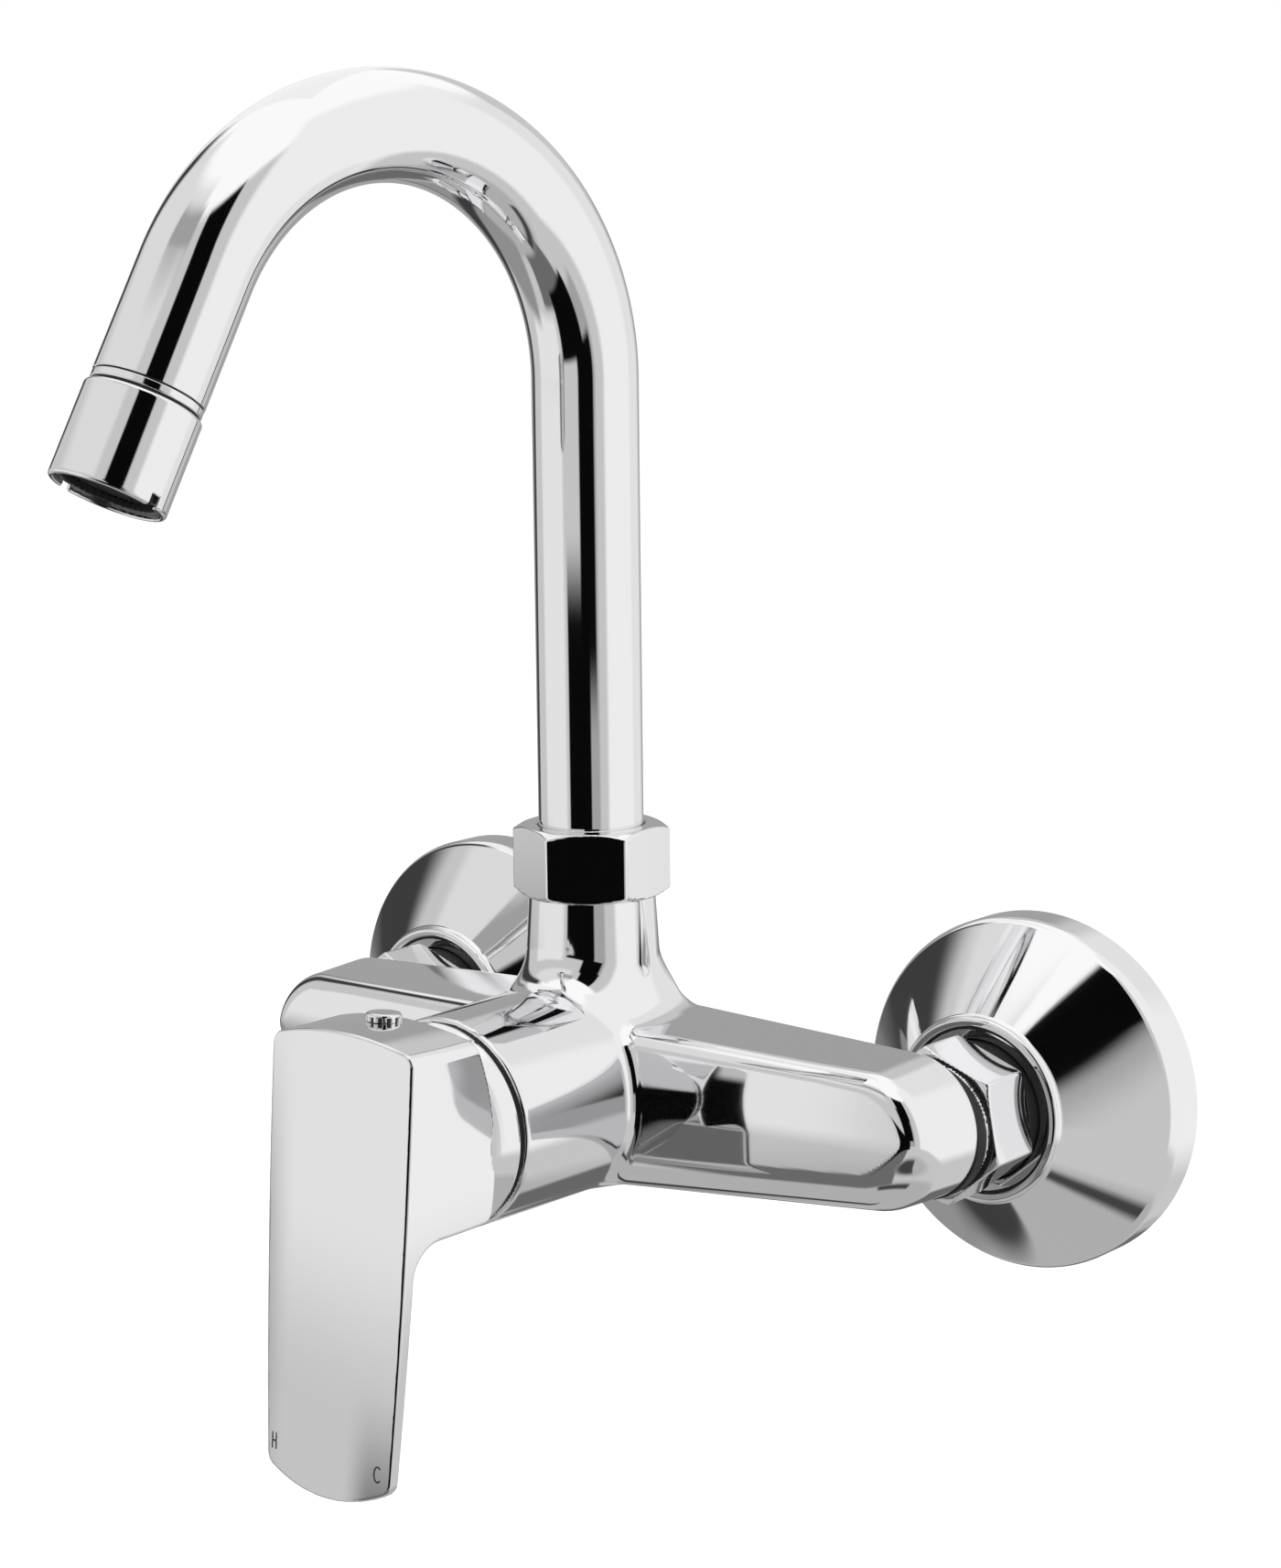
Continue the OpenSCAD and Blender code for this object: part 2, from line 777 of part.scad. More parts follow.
module cartridge_rotor() {
    side_gap = 0.2;
    slack = 1.4;
    slot_w = stem_square + 2 * side_gap;
    back_len = pivot_y - rotor_back;
    front_len = rotor_front - pivot_y;
    back_drop = (back_len + 1) * tan(lift_angle) + ball_r + slack;
    back_rise = ball_r + slack;
    front_drop = stem_square / 2 + slack;
    front_rise = (front_len + 1) * tan(lift_angle) + stem_square / 2 + slack;
    flange_front = shoulder_y - housing_top_t - MOVE_GAP / 2;
    color(BLACK)
        on_barrel()
            difference() {
                union() {
                    translate([0, 0, rotor_back])
                        cylinder(r = housing_inner_r - FIT_GAP, h = flange_front - rotor_back);
                    translate([0, 0, rotor_back])
                        cylinder(r = rotor_r, h = rotor_front - rotor_back);
                }
                translate([-slot_w / 2, -back_drop, rotor_back - EPS])
                    cube([slot_w, back_drop + back_rise, back_len + 2]);
                translate([-slot_w / 2, -front_drop, pivot_y - 1])
                    cube([slot_w, front_drop + front_rise, front_len + 1 + EPS]);
                translate([-rotor_r, 0, pivot_y])
                    rotate([0, 90, 0])
                        cylinder(r = stem_pin_r + THREAD_GAP, h = 2 * rotor_r);
            }
}

module stem_pin() {
    pin_len = 2 * rotor_r - 2;
    color(STEEL)
        on_barrel()
            translate([-pin_len / 2, 0, pivot_y])
                rotate([0, 90, 0])
                    cylinder(r = stem_pin_r, h = pin_len);
}

// Square stem in front of the pivot, a tapering arm and a ball behind it
module lever_stem() {
    half = stem_square / 2;
    color(STEEL)
        on_barrel()
            difference() {
                union() {
                    translate([-half, -half, pivot_y])
                        cube([stem_square, stem_square, stem_end - pivot_y]);
                    translate([-half, 0, pivot_y])
                        rotate([0, 90, 0])
                            cylinder(r = half, h = stem_square);
                    translate([0, 0, pivot_y - ball_arm])
                        cylinder(r1 = ball_r - 0.9, r2 = half - 0.6, h = ball_arm);
                    translate([0, 0, pivot_y - ball_arm])
                        sphere(r = ball_r);
                }
                translate([-stem_square, 0, pivot_y])
                    rotate([0, 90, 0])
                        cylinder(r = stem_pin_r + FIT_GAP, h = 2 * stem_square);
            }
}

// Threaded ring that clamps the cartridge, with a hexagon for the spanner
module cartridge_nut() {
    color(BRASS)
        on_barrel()
            difference() {
                union() {
                    translate([0, 0, shoulder_y + FACE_GAP])
                        cylinder(r = nut_thread_r - THREAD_GAP, h = cartridge_nut_t * 0.55);
                    hexagon(nut_hex_af, shoulder_y + FACE_GAP, cartridge_nut_front, 0);
                }
                translate([0, 0, shoulder_y])
                    cylinder(r = cartridge_neck_r + 0.2, h = cartridge_nut_t + 1);
            }
}

// Polished ring over the cartridge nut: a spherical zone about the pivot with a threaded skirt
module dome_ring() {
    inner_r = dome_r - dome_wall;
    skirt_r = nut_thread_r - THREAD_GAP;
    skirt_in = shoulder_y + FACE_GAP + cartridge_nut_t * 0.55 + 0.4;
    color(CHROME)
        on_barrel()
            difference() {
                union() {
                    intersection() {
                        translate([0, 0, pivot_y])
                            sphere(r = dome_r);
                        translate([0, 0, dome_rim_y])
                            cylinder(r = dome_r, h = dome_r);
                    }
                    translate([0, 0, dome_rim_y - dome_rim_t])
                        cylinder(r = barrel_r - dome_edge, h = dome_rim_t + EPS);
                    translate([0, 0, skirt_in])
                        cylinder(r = skirt_r, h = dome_rim_y - skirt_in);
                }
                translate([0, 0, pivot_y])
                    sphere(r = inner_r);
                translate([0, 0, skirt_in - EPS])
                    cylinder(r = skirt_r - skirt_wall, h = dome_rim_y - skirt_in + 1);
                translate([0, 0, dome_rim_y])
                    cylinder(r = dome_open_r, h = dome_r);
            }
}

// ---------- Lever ----------

// Front view of the lever: arched top and bottom edges, and sides that draw in towards the tip
module lever_outline() {
    side_steps = 6;
    top_r = bow_r(lever_half_w, lever_top_rise);
    tip_r = bow_r(lever_tip_half_w, lever_tip_drop);
    top_a = asin(lever_half_w / top_r);
    tip_a = asin(lever_tip_half_w / tip_r);
    right = [for (i = [0 : side_steps]) [
        lever_half_w - lever_narrowing * pow(i / side_steps, 2),
        -lever_tip * i / side_steps
    ]];
    left = [for (i = [side_steps : -1 : 0]) [-right[i][0], right[i][1]]];
    polygon(concat(
        arc(top_r, 90 + top_a, 90 - top_a, 12, [0, lever_top + lever_top_rise - top_r]),
        right,
        arc(tip_r, 270 + tip_a, 270 - tip_a, 12, [0, tip_r - lever_tip - lever_tip_drop]),
        left
    ));
}

// Distance from the wall to the straight edge of the lever's front at height z
function front_at(z) = lever_front - lean_slope * (z - barrel_z);

// Side view of the lever, drawn as distance from the wall against height. Its back is hollowed
// along the dome ring.
module lever_side() {
    over = 3;
    head = lever_top + lever_top_rise + over;
    foot = -lever_tip - lever_tip_drop - over;
    root = -hub_under - hub_blend_r;
    blade_back = front_at(root) - blade_root_t;
    bow_z = 2 * barrel_z;
    bow_from = 180 + asin((bow_z + hub_under) / hub_bow_r);
    bow_to = 180 - asin((head - bow_z) / hub_bow_r);
    polygon(concat(
        [[front_at(head) + over, head], [front_at(foot) + over, foot]],
        [[front_at(foot) - blade_tip_t, foot]],
        arc(hub_blend_r, 0, 90, 5, [blade_back - hub_blend_r, root]),
        arc(hub_bow_r, bow_from, bow_to, 10, [hub_back + hub_bow_r, bow_z])
    ));
}

// Long cylinder that bows the front face of the lever across its width
module front_bow() {
    r = bow_r(lever_half_w, lever_bulge);
    reach = 2 * (lever_top + lever_tip);
    translate([0, r - lever_front - lever_bulge, barrel_z])
        rotate([-lever_lean, 0, 0])
            translate([0, 0, -reach / 2])
                cylinder(r = r, h = reach, $fn = BOW_FN);
}

module lever_solid() {
    intersection() {
        translate([0, -hub_back / 2, 0])
            rotate([90, 0, 0])
                linear_extrude(lever_front)
                    lever_outline();
        rotate([90, 0, -90])
            translate([0, 0, -1.5 * lever_half_w])
                linear_extrude(3 * lever_half_w)
                    lever_side();
        front_bow();
    }
}

// Places children on the axis of the lever screw, with z = 0 at the top of the lever
module on_screw() {
    translate([0, -plug_y, plug_z])
        rotate([-lever_lean, 0, 0])
            children();
}

module hub_cavity() {
    width = 2 * (lever_half_w - hub_wall);
    floor_z = hub_wall - hub_under;
    front = lever_front - front_t;
    translate([-width / 2, -front, floor_z])
        cube([width, front - hub_back + 8, lever_top - hub_wall - floor_z]);
}

module screw_boss() {
    difference() {
        intersection() {
            on_screw()
                translate([0, 0, -screw_hole_len])
                    cylinder(r = screw_r + screw_boss_wall, h = screw_hole_len - 1);
            lever_solid();
        }
        translate(pivot)
            sphere(r = dome_clear_r);
    }
}

module stem_boss() {
    on_barrel()
        translate([0, 0, stem_boss_back])
            cylinder(r = stem_boss_r, h = lever_front - front_t + 0.5 - stem_boss_back);
}

module lever() {
    color(CHROME)
        difference() {
            union() {
                difference() {
                    lever_solid();
                    hub_cavity();
                }
                screw_boss();
                stem_boss();
            }
            difference() {
                translate(pivot)
                    sphere(r = dome_clear_r);
                on_barrel()
                    cylinder(r = stem_boss_r, h = lever_front);
            }
            on_barrel()
                translate([-socket_half, -socket_half, stem_boss_back - 1])
                    cube([2 * socket_half, 2 * socket_half, stem_end + 0.2 - stem_boss_back + 1]);
            on_screw()
                translate([0, 0, -screw_hole_len])
                    cylinder(r = screw_r + THREAD_GAP, h = screw_hole_len + plug_h);
            on_screw()
                cylinder(r = plug_r + MOVE_GAP, h = plug_h);
        }
}

// Grub screw that bears on the top of the lever stem
module lever_screw() {
    stem_top = barrel_z + stem_square / 2;
    color(STEEL)
        on_screw()
            translate([0, 0, stem_top + 0.5 - plug_z])
                cylinder(r = screw_r, h = screw_len);
}

module lever_plug() {
    peg_len = 5;
    edge = 0.4;
    color(CHROME)
        on_screw() {
            rotate_extrude()
                polygon([
                    [0, FACE_GAP], [plug_r - edge, FACE_GAP], [plug_r, FACE_GAP + edge],
                    [plug_r, plug_h - edge], [plug_r - edge, plug_h], [0, plug_h]
                ]);
            translate([0, 0, -peg_len])
                cylinder(r = screw_r - FIT_GAP, h = peg_len + FACE_GAP + EPS);
        }
}

// ---------- Spout ----------

module spout_nut() {
    color(CHROME)
        on_stem()
            difference() {
                hexagon(spout_nut_af, spout_nut_z, spout_nut_top, spout_nut_turn);
                translate([0, 0, spout_nut_z - EPS])
                    cylinder(r = neck_thread_r + THREAD_GAP, h = spout_nut_h - nut_lip_t);
                translate([0, 0, spout_nut_z])
                    cylinder(r = nut_hole_r, h = spout_nut_h + EPS);
            }
}

module spout_slip_ring() {
    color(PLASTIC)
        on_stem()
            tube(neck_thread_r - 0.2, tube_r + FIT_GAP, slip_ring_z, slip_ring_z + slip_ring_t);
}

// Brass tail brazed into the foot of the tube: collar, spigot and two seal grooves
module spout_tail() {
    groove = neck_seal_d * 1.2;
    color(BRASS)
        on_stem()
            difference() {
                union() {
                    translate([0, 0, tail_foot])
                        cylinder(r = tail_r, h = tail_len + EPS);
                    translate([0, 0, tail_collar_z])
                        cylinder(r = tail_collar_r, h = tail_collar_t);
                    translate([0, 0, tail_collar_z + tail_collar_t - EPS])
                        cylinder(r = tube_r - tube_wall - THREAD_GAP, h = tail_spigot_len);
                }
                translate([0, 0, tail_foot - EPS])
                    cylinder(r = tail_bore_r, h = tail_len + tail_collar_t + tail_spigot_len + 1);
                for (z = neck_seal_z)
                    tube(tail_r + 1, neck_seal_core, z - groove / 2, z + groove / 2);
            }
}

module neck_seal(i) {
    centre_r = neck_bore_r - neck_seal_gap - neck_seal_d / 2;
    color(RUBBER)
        on_stem()
            translate([0, 0, neck_seal_z[i]])
                seal_ring(centre_r, neck_seal_d);
}

// Tube, bend and straight end as one run of radius r, longer by extra at both ends
module spout_run(r, extra) {
    foot = tail_collar_z + tail_collar_t;
    overlap = 1;
    step = 0.02;
    in_spout_plane() {
        translate([0, 0, foot - extra])
            cylinder(r = r, h = bend_z - foot + extra);
        translate([0, -bend_r, bend_z])
            rotate([90, 0, 90])
                rotate_extrude(angle = bend_sweep)
                    translate([bend_r, 0])
                        circle(r = r);
    }
    at_bend_end()
        translate([0, 0, -overlap])
            cylinder(r = r + step, h = tube_end_len + overlap + extra);
}

module spout_tube() {
    color(CHROME)
        difference() {
            spout_run(tube_r, 0);
            spout_run(tube_r - tube_wall, EPS);
        }
}

// Threaded ring brazed into the end of the tube, with a narrow band that shows
module tube_end_ring() {
    ring_wall = 1.6;
    ring_back = tube_end_len - ring_spigot_len;
    band_end = tube_end_len + end_ring_w;
    color(CHROME)
        at_bend_end()
            difference() {
                union() {
                    translate([0, 0, ring_back])
                        cylinder(r = tube_r - tube_wall - THREAD_GAP, h = ring_spigot_len + EPS);
                    translate([0, 0, tube_end_len])
                        cylinder(r = tube_r - 0.15, h = end_ring_w);
                    translate([0, 0, band_end - EPS])
                        cylinder(r = aerator_thread_r - THREAD_GAP, h = thread_end - band_end);
                }
                translate([0, 0, ring_back - EPS])
                    cylinder(r = aerator_thread_r - ring_wall, h = thread_end - ring_back + 1);
            }
}

module aerator_housing() {
    edge = 0.8;
    color(CHROME)
        at_bend_end()
            difference() {
                rotate_extrude()
                    polygon(concat(
                        [[0, housing_start], [aerator_r - edge, housing_start]],
                        arc(edge, -60, 0, 3, [aerator_r - edge, housing_start + edge]),
                        arc(edge, 0, 75, 3, [aerator_r - edge, housing_end - edge]),
                        [[aerator_r - edge * 1.2, housing_end], [0, housing_end]]
                    ));
                translate([0, 0, housing_start - EPS])
                    cylinder(r = aerator_thread_r, h = ledge - housing_start + EPS);
                translate([0, 0, housing_start])
                    cylinder(r = aerator_lip_r, h = aerator_len + EPS);
                translate([0, 0, insert_end])
                    cylinder(r = aerator_r - 1.1, h = insert_recess + EPS);
                rotate([0, 0, notch_turn])
                    translate([-aerator_r - 1, -notch_w / 2, housing_end - notch_depth])
                        cube([2 * aerator_r + 2, notch_w, notch_depth + EPS]);
            }
}

module aerator_washer() {
    color(RUBBER)
        at_bend_end()
            tube(aerator_thread_r - 0.1, aerator_thread_r - 3, thread_end + FACE_GAP, washer_end);
}

// Plastic flow straightener: a rim that rests on the ledge, a sleeve and two crossed sets of ribs
module aerator_insert() {
    rib = 0.7;
    grid_t = 1.6;
    pitch = sleeve_r / 3.2;
    color(BLACK)
        at_bend_end() {
            tube(aerator_thread_r - 0.1, sleeve_r - sleeve_wall, insert_top, insert_top + insert_rim_t);
            tube(sleeve_r, sleeve_r - sleeve_wall, insert_top, insert_end);
            intersection() {
                translate([0, 0, insert_end - grid_t])
                    cylinder(r = sleeve_r - sleeve_wall / 2, h = grid_t - 0.3);
                union()
                    for (i = [-2 : 2], a = [0, 90])
                        rotate([0, 0, a + notch_turn])
                            translate([i * pitch - rib / 2, -aerator_r, insert_end - grid_t - 1])
                                cube([rib, 2 * aerator_r, grid_t + 1]);
            }
        }
}

module aerator_mesh() {
    mesh_t = 0.4;
    color(STEEL)
        at_bend_end()
            translate([0, 0, insert_end - 2.1])
                cylinder(r = sleeve_r - sleeve_wall - THREAD_GAP, h = mesh_t);
}

mixer_body();
leg(SIDES[0]);  // leg_left
leg(SIDES[1]);  // leg_right
wall_flange(SIDES[0]);  // wall_flange_left
wall_flange(SIDES[1]);  // wall_flange_right
flange_grip_ring(SIDES[0]);  // flange_grip_ring_left
flange_grip_ring(SIDES[1]);  // flange_grip_ring_right
union_nut(SIDES[0]);  // union_nut_left
union_nut(SIDES[1]);  // union_nut_right
union_washer(SIDES[0]);  // union_washer_left
union_washer(SIDES[1]);  // union_washer_right
strainer(SIDES[0]);  // strainer_left
strainer(SIDES[1]);  // strainer_right
inlet_nipple(SIDES[0]);  // inlet_nipple_left
inlet_nipple(SIDES[1]);  // inlet_nipple_right
cartridge_housing();
cartridge_base();
base_seals();
fixed_disc();
moving_disc();
disc_carrier();
cartridge_rotor();
stem_pin();
lever_stem();
cartridge_nut();
dome_ring();
lever();
lever_screw();
lever_plug();
spout_nut();
spout_slip_ring();
spout_tail();
neck_seal(1);  // neck_seal_upper
neck_seal(0);  // neck_seal_lower
spout_tube();
tube_end_ring();
aerator_housing();
aerator_washer();
aerator_insert();
aerator_mesh();
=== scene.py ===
"""Looks of a wall-mounted sink mixer, built round its CAD frame. Lengths are in millimetres until MM."""
import math

import bmesh
import bpy
import numpy as np
from mathutils import Matrix, Vector


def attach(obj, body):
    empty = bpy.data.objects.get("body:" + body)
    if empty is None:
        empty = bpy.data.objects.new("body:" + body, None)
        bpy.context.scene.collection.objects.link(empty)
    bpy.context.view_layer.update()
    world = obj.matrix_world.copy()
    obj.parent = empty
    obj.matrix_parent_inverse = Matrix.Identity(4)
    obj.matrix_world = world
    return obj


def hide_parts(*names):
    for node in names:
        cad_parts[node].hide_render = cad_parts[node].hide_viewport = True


MM = 0.001
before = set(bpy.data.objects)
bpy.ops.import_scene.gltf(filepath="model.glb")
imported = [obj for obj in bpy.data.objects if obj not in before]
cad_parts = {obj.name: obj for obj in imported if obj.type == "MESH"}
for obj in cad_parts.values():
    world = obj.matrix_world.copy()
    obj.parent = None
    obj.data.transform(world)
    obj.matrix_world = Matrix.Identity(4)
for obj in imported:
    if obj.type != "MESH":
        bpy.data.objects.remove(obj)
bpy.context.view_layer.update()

# ---------- Places, in the part's frame: x to the right, distance from the wall along -y, z up ----------
INLET_X = 75.0
INLETS = (("left", -INLET_X), ("right", INLET_X))
BODY_BACK = 46.5
BARREL_Z = 3.0
STEM_Y = 59.2
PIVOT_Y = 103.0


# ---------- Mesh helpers ----------
NET_PASSES = 5          # times the points of a net are pulled onto their surface
SLOPE_STEP = 0.02       # half the distance over which a field's slope is measured
LEAST_SLOPE = 0.3       # keeps a pull from growing where a field is flat


def finer(full):
    return full


def make_piece(name, shape, material, body, slot, replaces=()):
    """A smooth mesh piece from points, faces and normals in millimetres, riding on a CAD body."""
    points, faces, normals = shape
    mesh = bpy.data.meshes.new(name)
    points = np.asarray(points, float) * MM
    faces = np.asarray(faces)
    mesh.vertices.add(len(points))
    mesh.vertices.foreach_set("co", points.ravel())
    corners = faces.shape[1]
    mesh.loops.add(faces.size)
    mesh.loops.foreach_set("vertex_index", faces.ravel())
    mesh.polygons.add(len(faces))
    mesh.polygons.foreach_set("loop_start", np.arange(0, faces.size, corners))
    mesh.polygons.foreach_set("use_smooth", np.ones(len(faces), bool))
    mesh.update(calc_edges=True)
    mesh.validate()
    mesh.normals_split_custom_set_from_vertices(np.asarray(normals, float).tolist())
    mesh.materials.append(material)
    obj = bpy.data.objects.new(name, mesh)
    bpy.context.scene.collection.objects.link(obj)
    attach(obj, body)
    if replaces:
        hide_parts(*replaces)


def fillet_join(a, b, r):
    """Distance to the union of two shapes, with a fillet of radius r where they meet."""
    u = np.maximum(r - a, 0)
    v = np.maximum(r - b, 0)
    return np.maximum(r, np.minimum(a, b)) - np.hypot(u, v)


def round_cut(a, b, r):
    """Distance to what two shapes share, with the edge between them rounded to radius r."""
    u = np.maximum(r + a, 0)
    v = np.maximum(r + b, 0)
    return np.minimum(-r, np.maximum(a, b)) + np.hypot(u, v)


def between(value, low, high):
    """Distance to the slab between two values."""
    return np.maximum(low - value, value - high)


def ramp(x, low, high):
    """0 below low, 1 above high and smooth between them."""
    t = np.clip((x - low) / (high - low), 0, 1)
    return t * t * (3 - 2 * t)


def gradient(field, p):
    """Unit direction in which the field grows fastest at the points p, and its slope."""
    g = np.empty_like(p)
    for axis in range(3):
        step = np.zeros(3)
        step[axis] = SLOPE_STEP
        g[:, axis] = (field(*(p + step).T) - field(*(p - step).T)) / (2 * SLOPE_STEP)
    size = np.linalg.norm(g, axis=1, keepdims=True)
    return g / np.maximum(size, 1e-9), size[:, 0]


def net_faces(inside, cell):
    """Quads across every grid edge that leaves the shape, wound so that they face outwards."""
    found = []
    unit = np.eye(3, dtype=int)
    for axis in range(3):
        u, v = (axis + 1) % 3, (axis + 2) % 3
        near = np.take(inside, np.arange(inside.shape[axis] - 1), axis)
        far = np.take(inside, np.arange(1, inside.shape[axis]), axis)
        at = np.argwhere(near != far)
        ring = [at, at - unit[u], at - unit[u] - unit[v], at - unit[v]]
        quad = np.stack([cell[tuple(r.T)] for r in ring], 1)
        leaving = near[tuple(at.T)]
        quad[~leaving] = quad[~leaving, ::-1]
        found.append(quad)
    return np.concatenate(found)


def solid_mesh(field, low, high, step):
    """Points, quads and normals of the surface where field(x, y, z) is zero, inside a box."""
    axes = [np.arange(a, b + step, step) for a, b in zip(low, high)]
    x, y, z = np.meshgrid(*axes, indexing="ij", sparse=True)
    inside = field(x, y, z) < 0
    nx, ny, nz = (n - 1 for n in inside.shape)
    count = np.zeros((nx, ny, nz), np.int8)
    for i, j, k in np.ndindex(2, 2, 2):
        count += inside[i:nx + i, j:ny + j, k:nz + k]
    mixed = (count > 0) & (count < 8)
    cell = np.full(mixed.shape, -1)
    cell[mixed] = np.arange(mixed.sum())
    points = (np.argwhere(mixed) + 0.5) * step + np.array(low)
    for _ in range(NET_PASSES):
        g, size = gradient(field, points)
        move = field(*points.T) / np.maximum(size, LEAST_SLOPE)
        points = points - g * np.clip(move, -step, step)[:, None]
    return points, net_faces(inside, cell), gradient(field, points)[0]


def rounded_profile(corners, steps):
    """Points and normals along a closed profile whose corners (r, z, fillet radius) are rounded."""
    points, normals = [], []
    n = len(corners)
    for i in range(n):
        p = np.array(corners[i][:2], float)
        a = np.array(corners[i - 1][:2], float) - p
        b = np.array(corners[(i + 1) % n][:2], float) - p
        a /= np.linalg.norm(a)
        b /= np.linalg.norm(b)
        half = 0.5 * math.acos(np.clip(a @ b, -1, 1))
        if math.degrees(half) > 89.95:
            points.append(p)
            normals.append(np.array([-a[1], a[0]]))
            continue
        r = corners[i][2]
        outwards = 1 if a[0] * b[1] - a[1] * b[0] < 0 else -1
        centre = p + (a + b) / np.linalg.norm(a + b) * r / math.sin(half)
        reach = r / math.tan(half)
        start = (p + a * reach - centre) / r
        end = (p + b * reach - centre) / r
        for t in np.linspace(0, 1, steps + 1):
            w = start * (1 - t) + end * t
            w /= np.linalg.norm(w)
            points.append(centre + w * r)
            normals.append(w * outwards)
    return np.array(points), np.array(normals)


def lathe(corners, segments=160, steps=6):
    """A turned piece about z from a closed profile of corners (r, z, fillet), the solid on its left."""
    profile, across = rounded_profile(corners, steps)
    n = len(profile)
    turn = np.linspace(0, 2 * math.pi, segments, endpoint=False)
    c, s = np.cos(turn)[:, None], np.sin(turn)[:, None]
    points, normals = (
        np.stack([line[:, 0] * c, line[:, 0] * s, line[:, 1] + 0 * c], -1).reshape(-1, 3)
        for line in (profile, across)
    )
    i, j = np.meshgrid(np.arange(segments), np.arange(n), indexing="ij")
    i2, j2 = (i + 1) % segments, (j + 1) % n
    faces = np.stack([i * n + j, i2 * n + j, i2 * n + j2, i * n + j2], -1).reshape(-1, 4)
    return points, faces, normals


def sleeve(inner, outer, low, high, bore_edge, edge):
    """Corners of a plain ring between two radii and two places on its axis."""
    return [(inner, low, bore_edge), (outer, low, edge), (outer, high, edge), (inner, high, bore_edge)]


def placed(shape, matrix):
    """The shape (points, faces, normals) moved by a 4 x 4 matrix."""
    points, faces, normals = shape
    m = np.array(matrix)
    return points @ m[:3, :3].T + m[:3, 3], faces, normals @ m[:3, :3].T


def wall_frame(x, z=0.0):
    """Matrix whose z axis is the distance from the wall, on the line at x, z."""
    return Matrix.Translation((x, 0, z)) @ Matrix.Rotation(math.radians(90), 4, "X")


# ---------- Body ----------
BARREL_R, BARREL_FRONT, BARREL_TAPER = 21.9, 107.0, 0.8
BARREL_FRONT_EDGE, BARREL_BACK_EDGE = 0.8, 3.0
NECK_R, NECK_TOP, NECK_BACK = 13.4, 54.5, 45.5
NECK_FLARE, NECK_FLARE_H, NECK_STEP = 0.8, 13.0, 0.2
ARM_END_X = 74.1
ARM_ROOT_Z, ARM_ROOT_R = 0.5, 18.7
ARM_END_Z, ARM_END_R = 1.45, 14.95
ARM_DRAFT, ARM_DRAFT_FROM = 0.05, 56.0
ARM_FRONT_ROOT, ARM_FRONT_END, ARM_SLOPE_FROM = 74.3, 68.5, 20.0
ARM_BOW_R, ARM_KEEL_R = 50.0, 9.0
ARM_EDGE_ROOT_R, ARM_EDGE_END_R = 3.0, 3.9
ARM_EDGE_SPAN, ARM_KEEL_SPAN = (60.0, 84.0), (-0.2, 0.35)
BACK_EDGE, BORE_EDGE, MOUTH_EDGE = 1.2, 0.6, 0.5
BARREL_FILLET, NECK_FILLET = 2.6, 7.5
CHAMBER_R, CHAMBER_BACK = 17.75, 76.0
THREAD_R, THREAD_BACK = 19.0, 96.0
NECK_BORE_R, NECK_BORE_LOW = 10.6, 36.0
SOCKET_R, SOCKET_FRONT = 10.48, 58.0
BODY_BOX = ((-92, -109, -22), (92, -44, 57))
SPOUT_NUT_LOW, SPOUT_NUT_TOP = 43.0, 58.0


def capsule(x, z, z0, r0, z1, r1, length):
    """Distance in the plane to a tapered capsule that runs from x = 0 to x = length."""
    tilt = math.atan2(z1 - z0, length)
    run = math.hypot(length, z1 - z0)
    along = x * math.cos(tilt) + (z - z0) * math.sin(tilt)
    off = np.abs(-x * math.sin(tilt) + (z - z0) * math.cos(tilt))
    b = (r0 - r1) / run
    a = math.sqrt(1 - b * b)
    k = -b * off + a * along
    start = np.hypot(off, along) - r0
    end = np.hypot(off, along - run) - r1
    middle = a * off + b * along - r0
    return np.where(k < 0, start, np.where(k > a * run, end, middle))


def arm_field(x, d, z):
    """The two arms: a tapered capsule in front view, with a front face whose edge is rounded."""
    x = np.abs(x)
    along = np.clip(x / ARM_END_X, 0, 1)
    middle = ARM_ROOT_Z + (ARM_END_Z - ARM_ROOT_Z) * along
    up = (z - middle) / (ARM_ROOT_R + (ARM_END_R - ARM_ROOT_R) * along)
    side = capsule(x, z, ARM_ROOT_Z, ARM_ROOT_R, ARM_END_Z, ARM_END_R, ARM_END_X)
    side = side + ARM_DRAFT * (d - ARM_DRAFT_FROM)
    slope = (ARM_FRONT_ROOT - ARM_FRONT_END) / (ARM_END_X - ARM_SLOPE_FROM)
    bow = np.maximum(z - middle, 0) ** 2 / (2 * ARM_BOW_R)
    front = d - ARM_FRONT_ROOT + slope * (x - ARM_SLOPE_FROM) + bow
    edge = ARM_EDGE_ROOT_R + (ARM_EDGE_END_R - ARM_EDGE_ROOT_R) * ramp(x, *ARM_EDGE_SPAN)
    edge = edge + (ARM_KEEL_R - edge) * ramp(-up, *ARM_KEEL_SPAN)
    return round_cut(round_cut(side, front, edge), BODY_BACK - d, BACK_EDGE)


def barrel_field(x, d, z):
    radius = BARREL_R + BARREL_TAPER * (BARREL_FRONT - d) / (BARREL_FRONT - BODY_BACK)
    side = np.hypot(x, z - BARREL_Z) - radius
    side = round_cut(side, d - BARREL_FRONT, BARREL_FRONT_EDGE)
    return round_cut(side, BODY_BACK - d, BARREL_BACK_EDGE)


def neck_field(x, d, z):
    flare = NECK_R + NECK_FLARE * (SPOUT_NUT_LOW - z) / NECK_FLARE_H
    radius = np.where(z < SPOUT_NUT_LOW, flare, NECK_R - NECK_STEP)
    side = np.hypot(x, d - STEM_Y) - radius
    return round_cut(round_cut(side, z - NECK_TOP, 0.6), -z, 1.0)


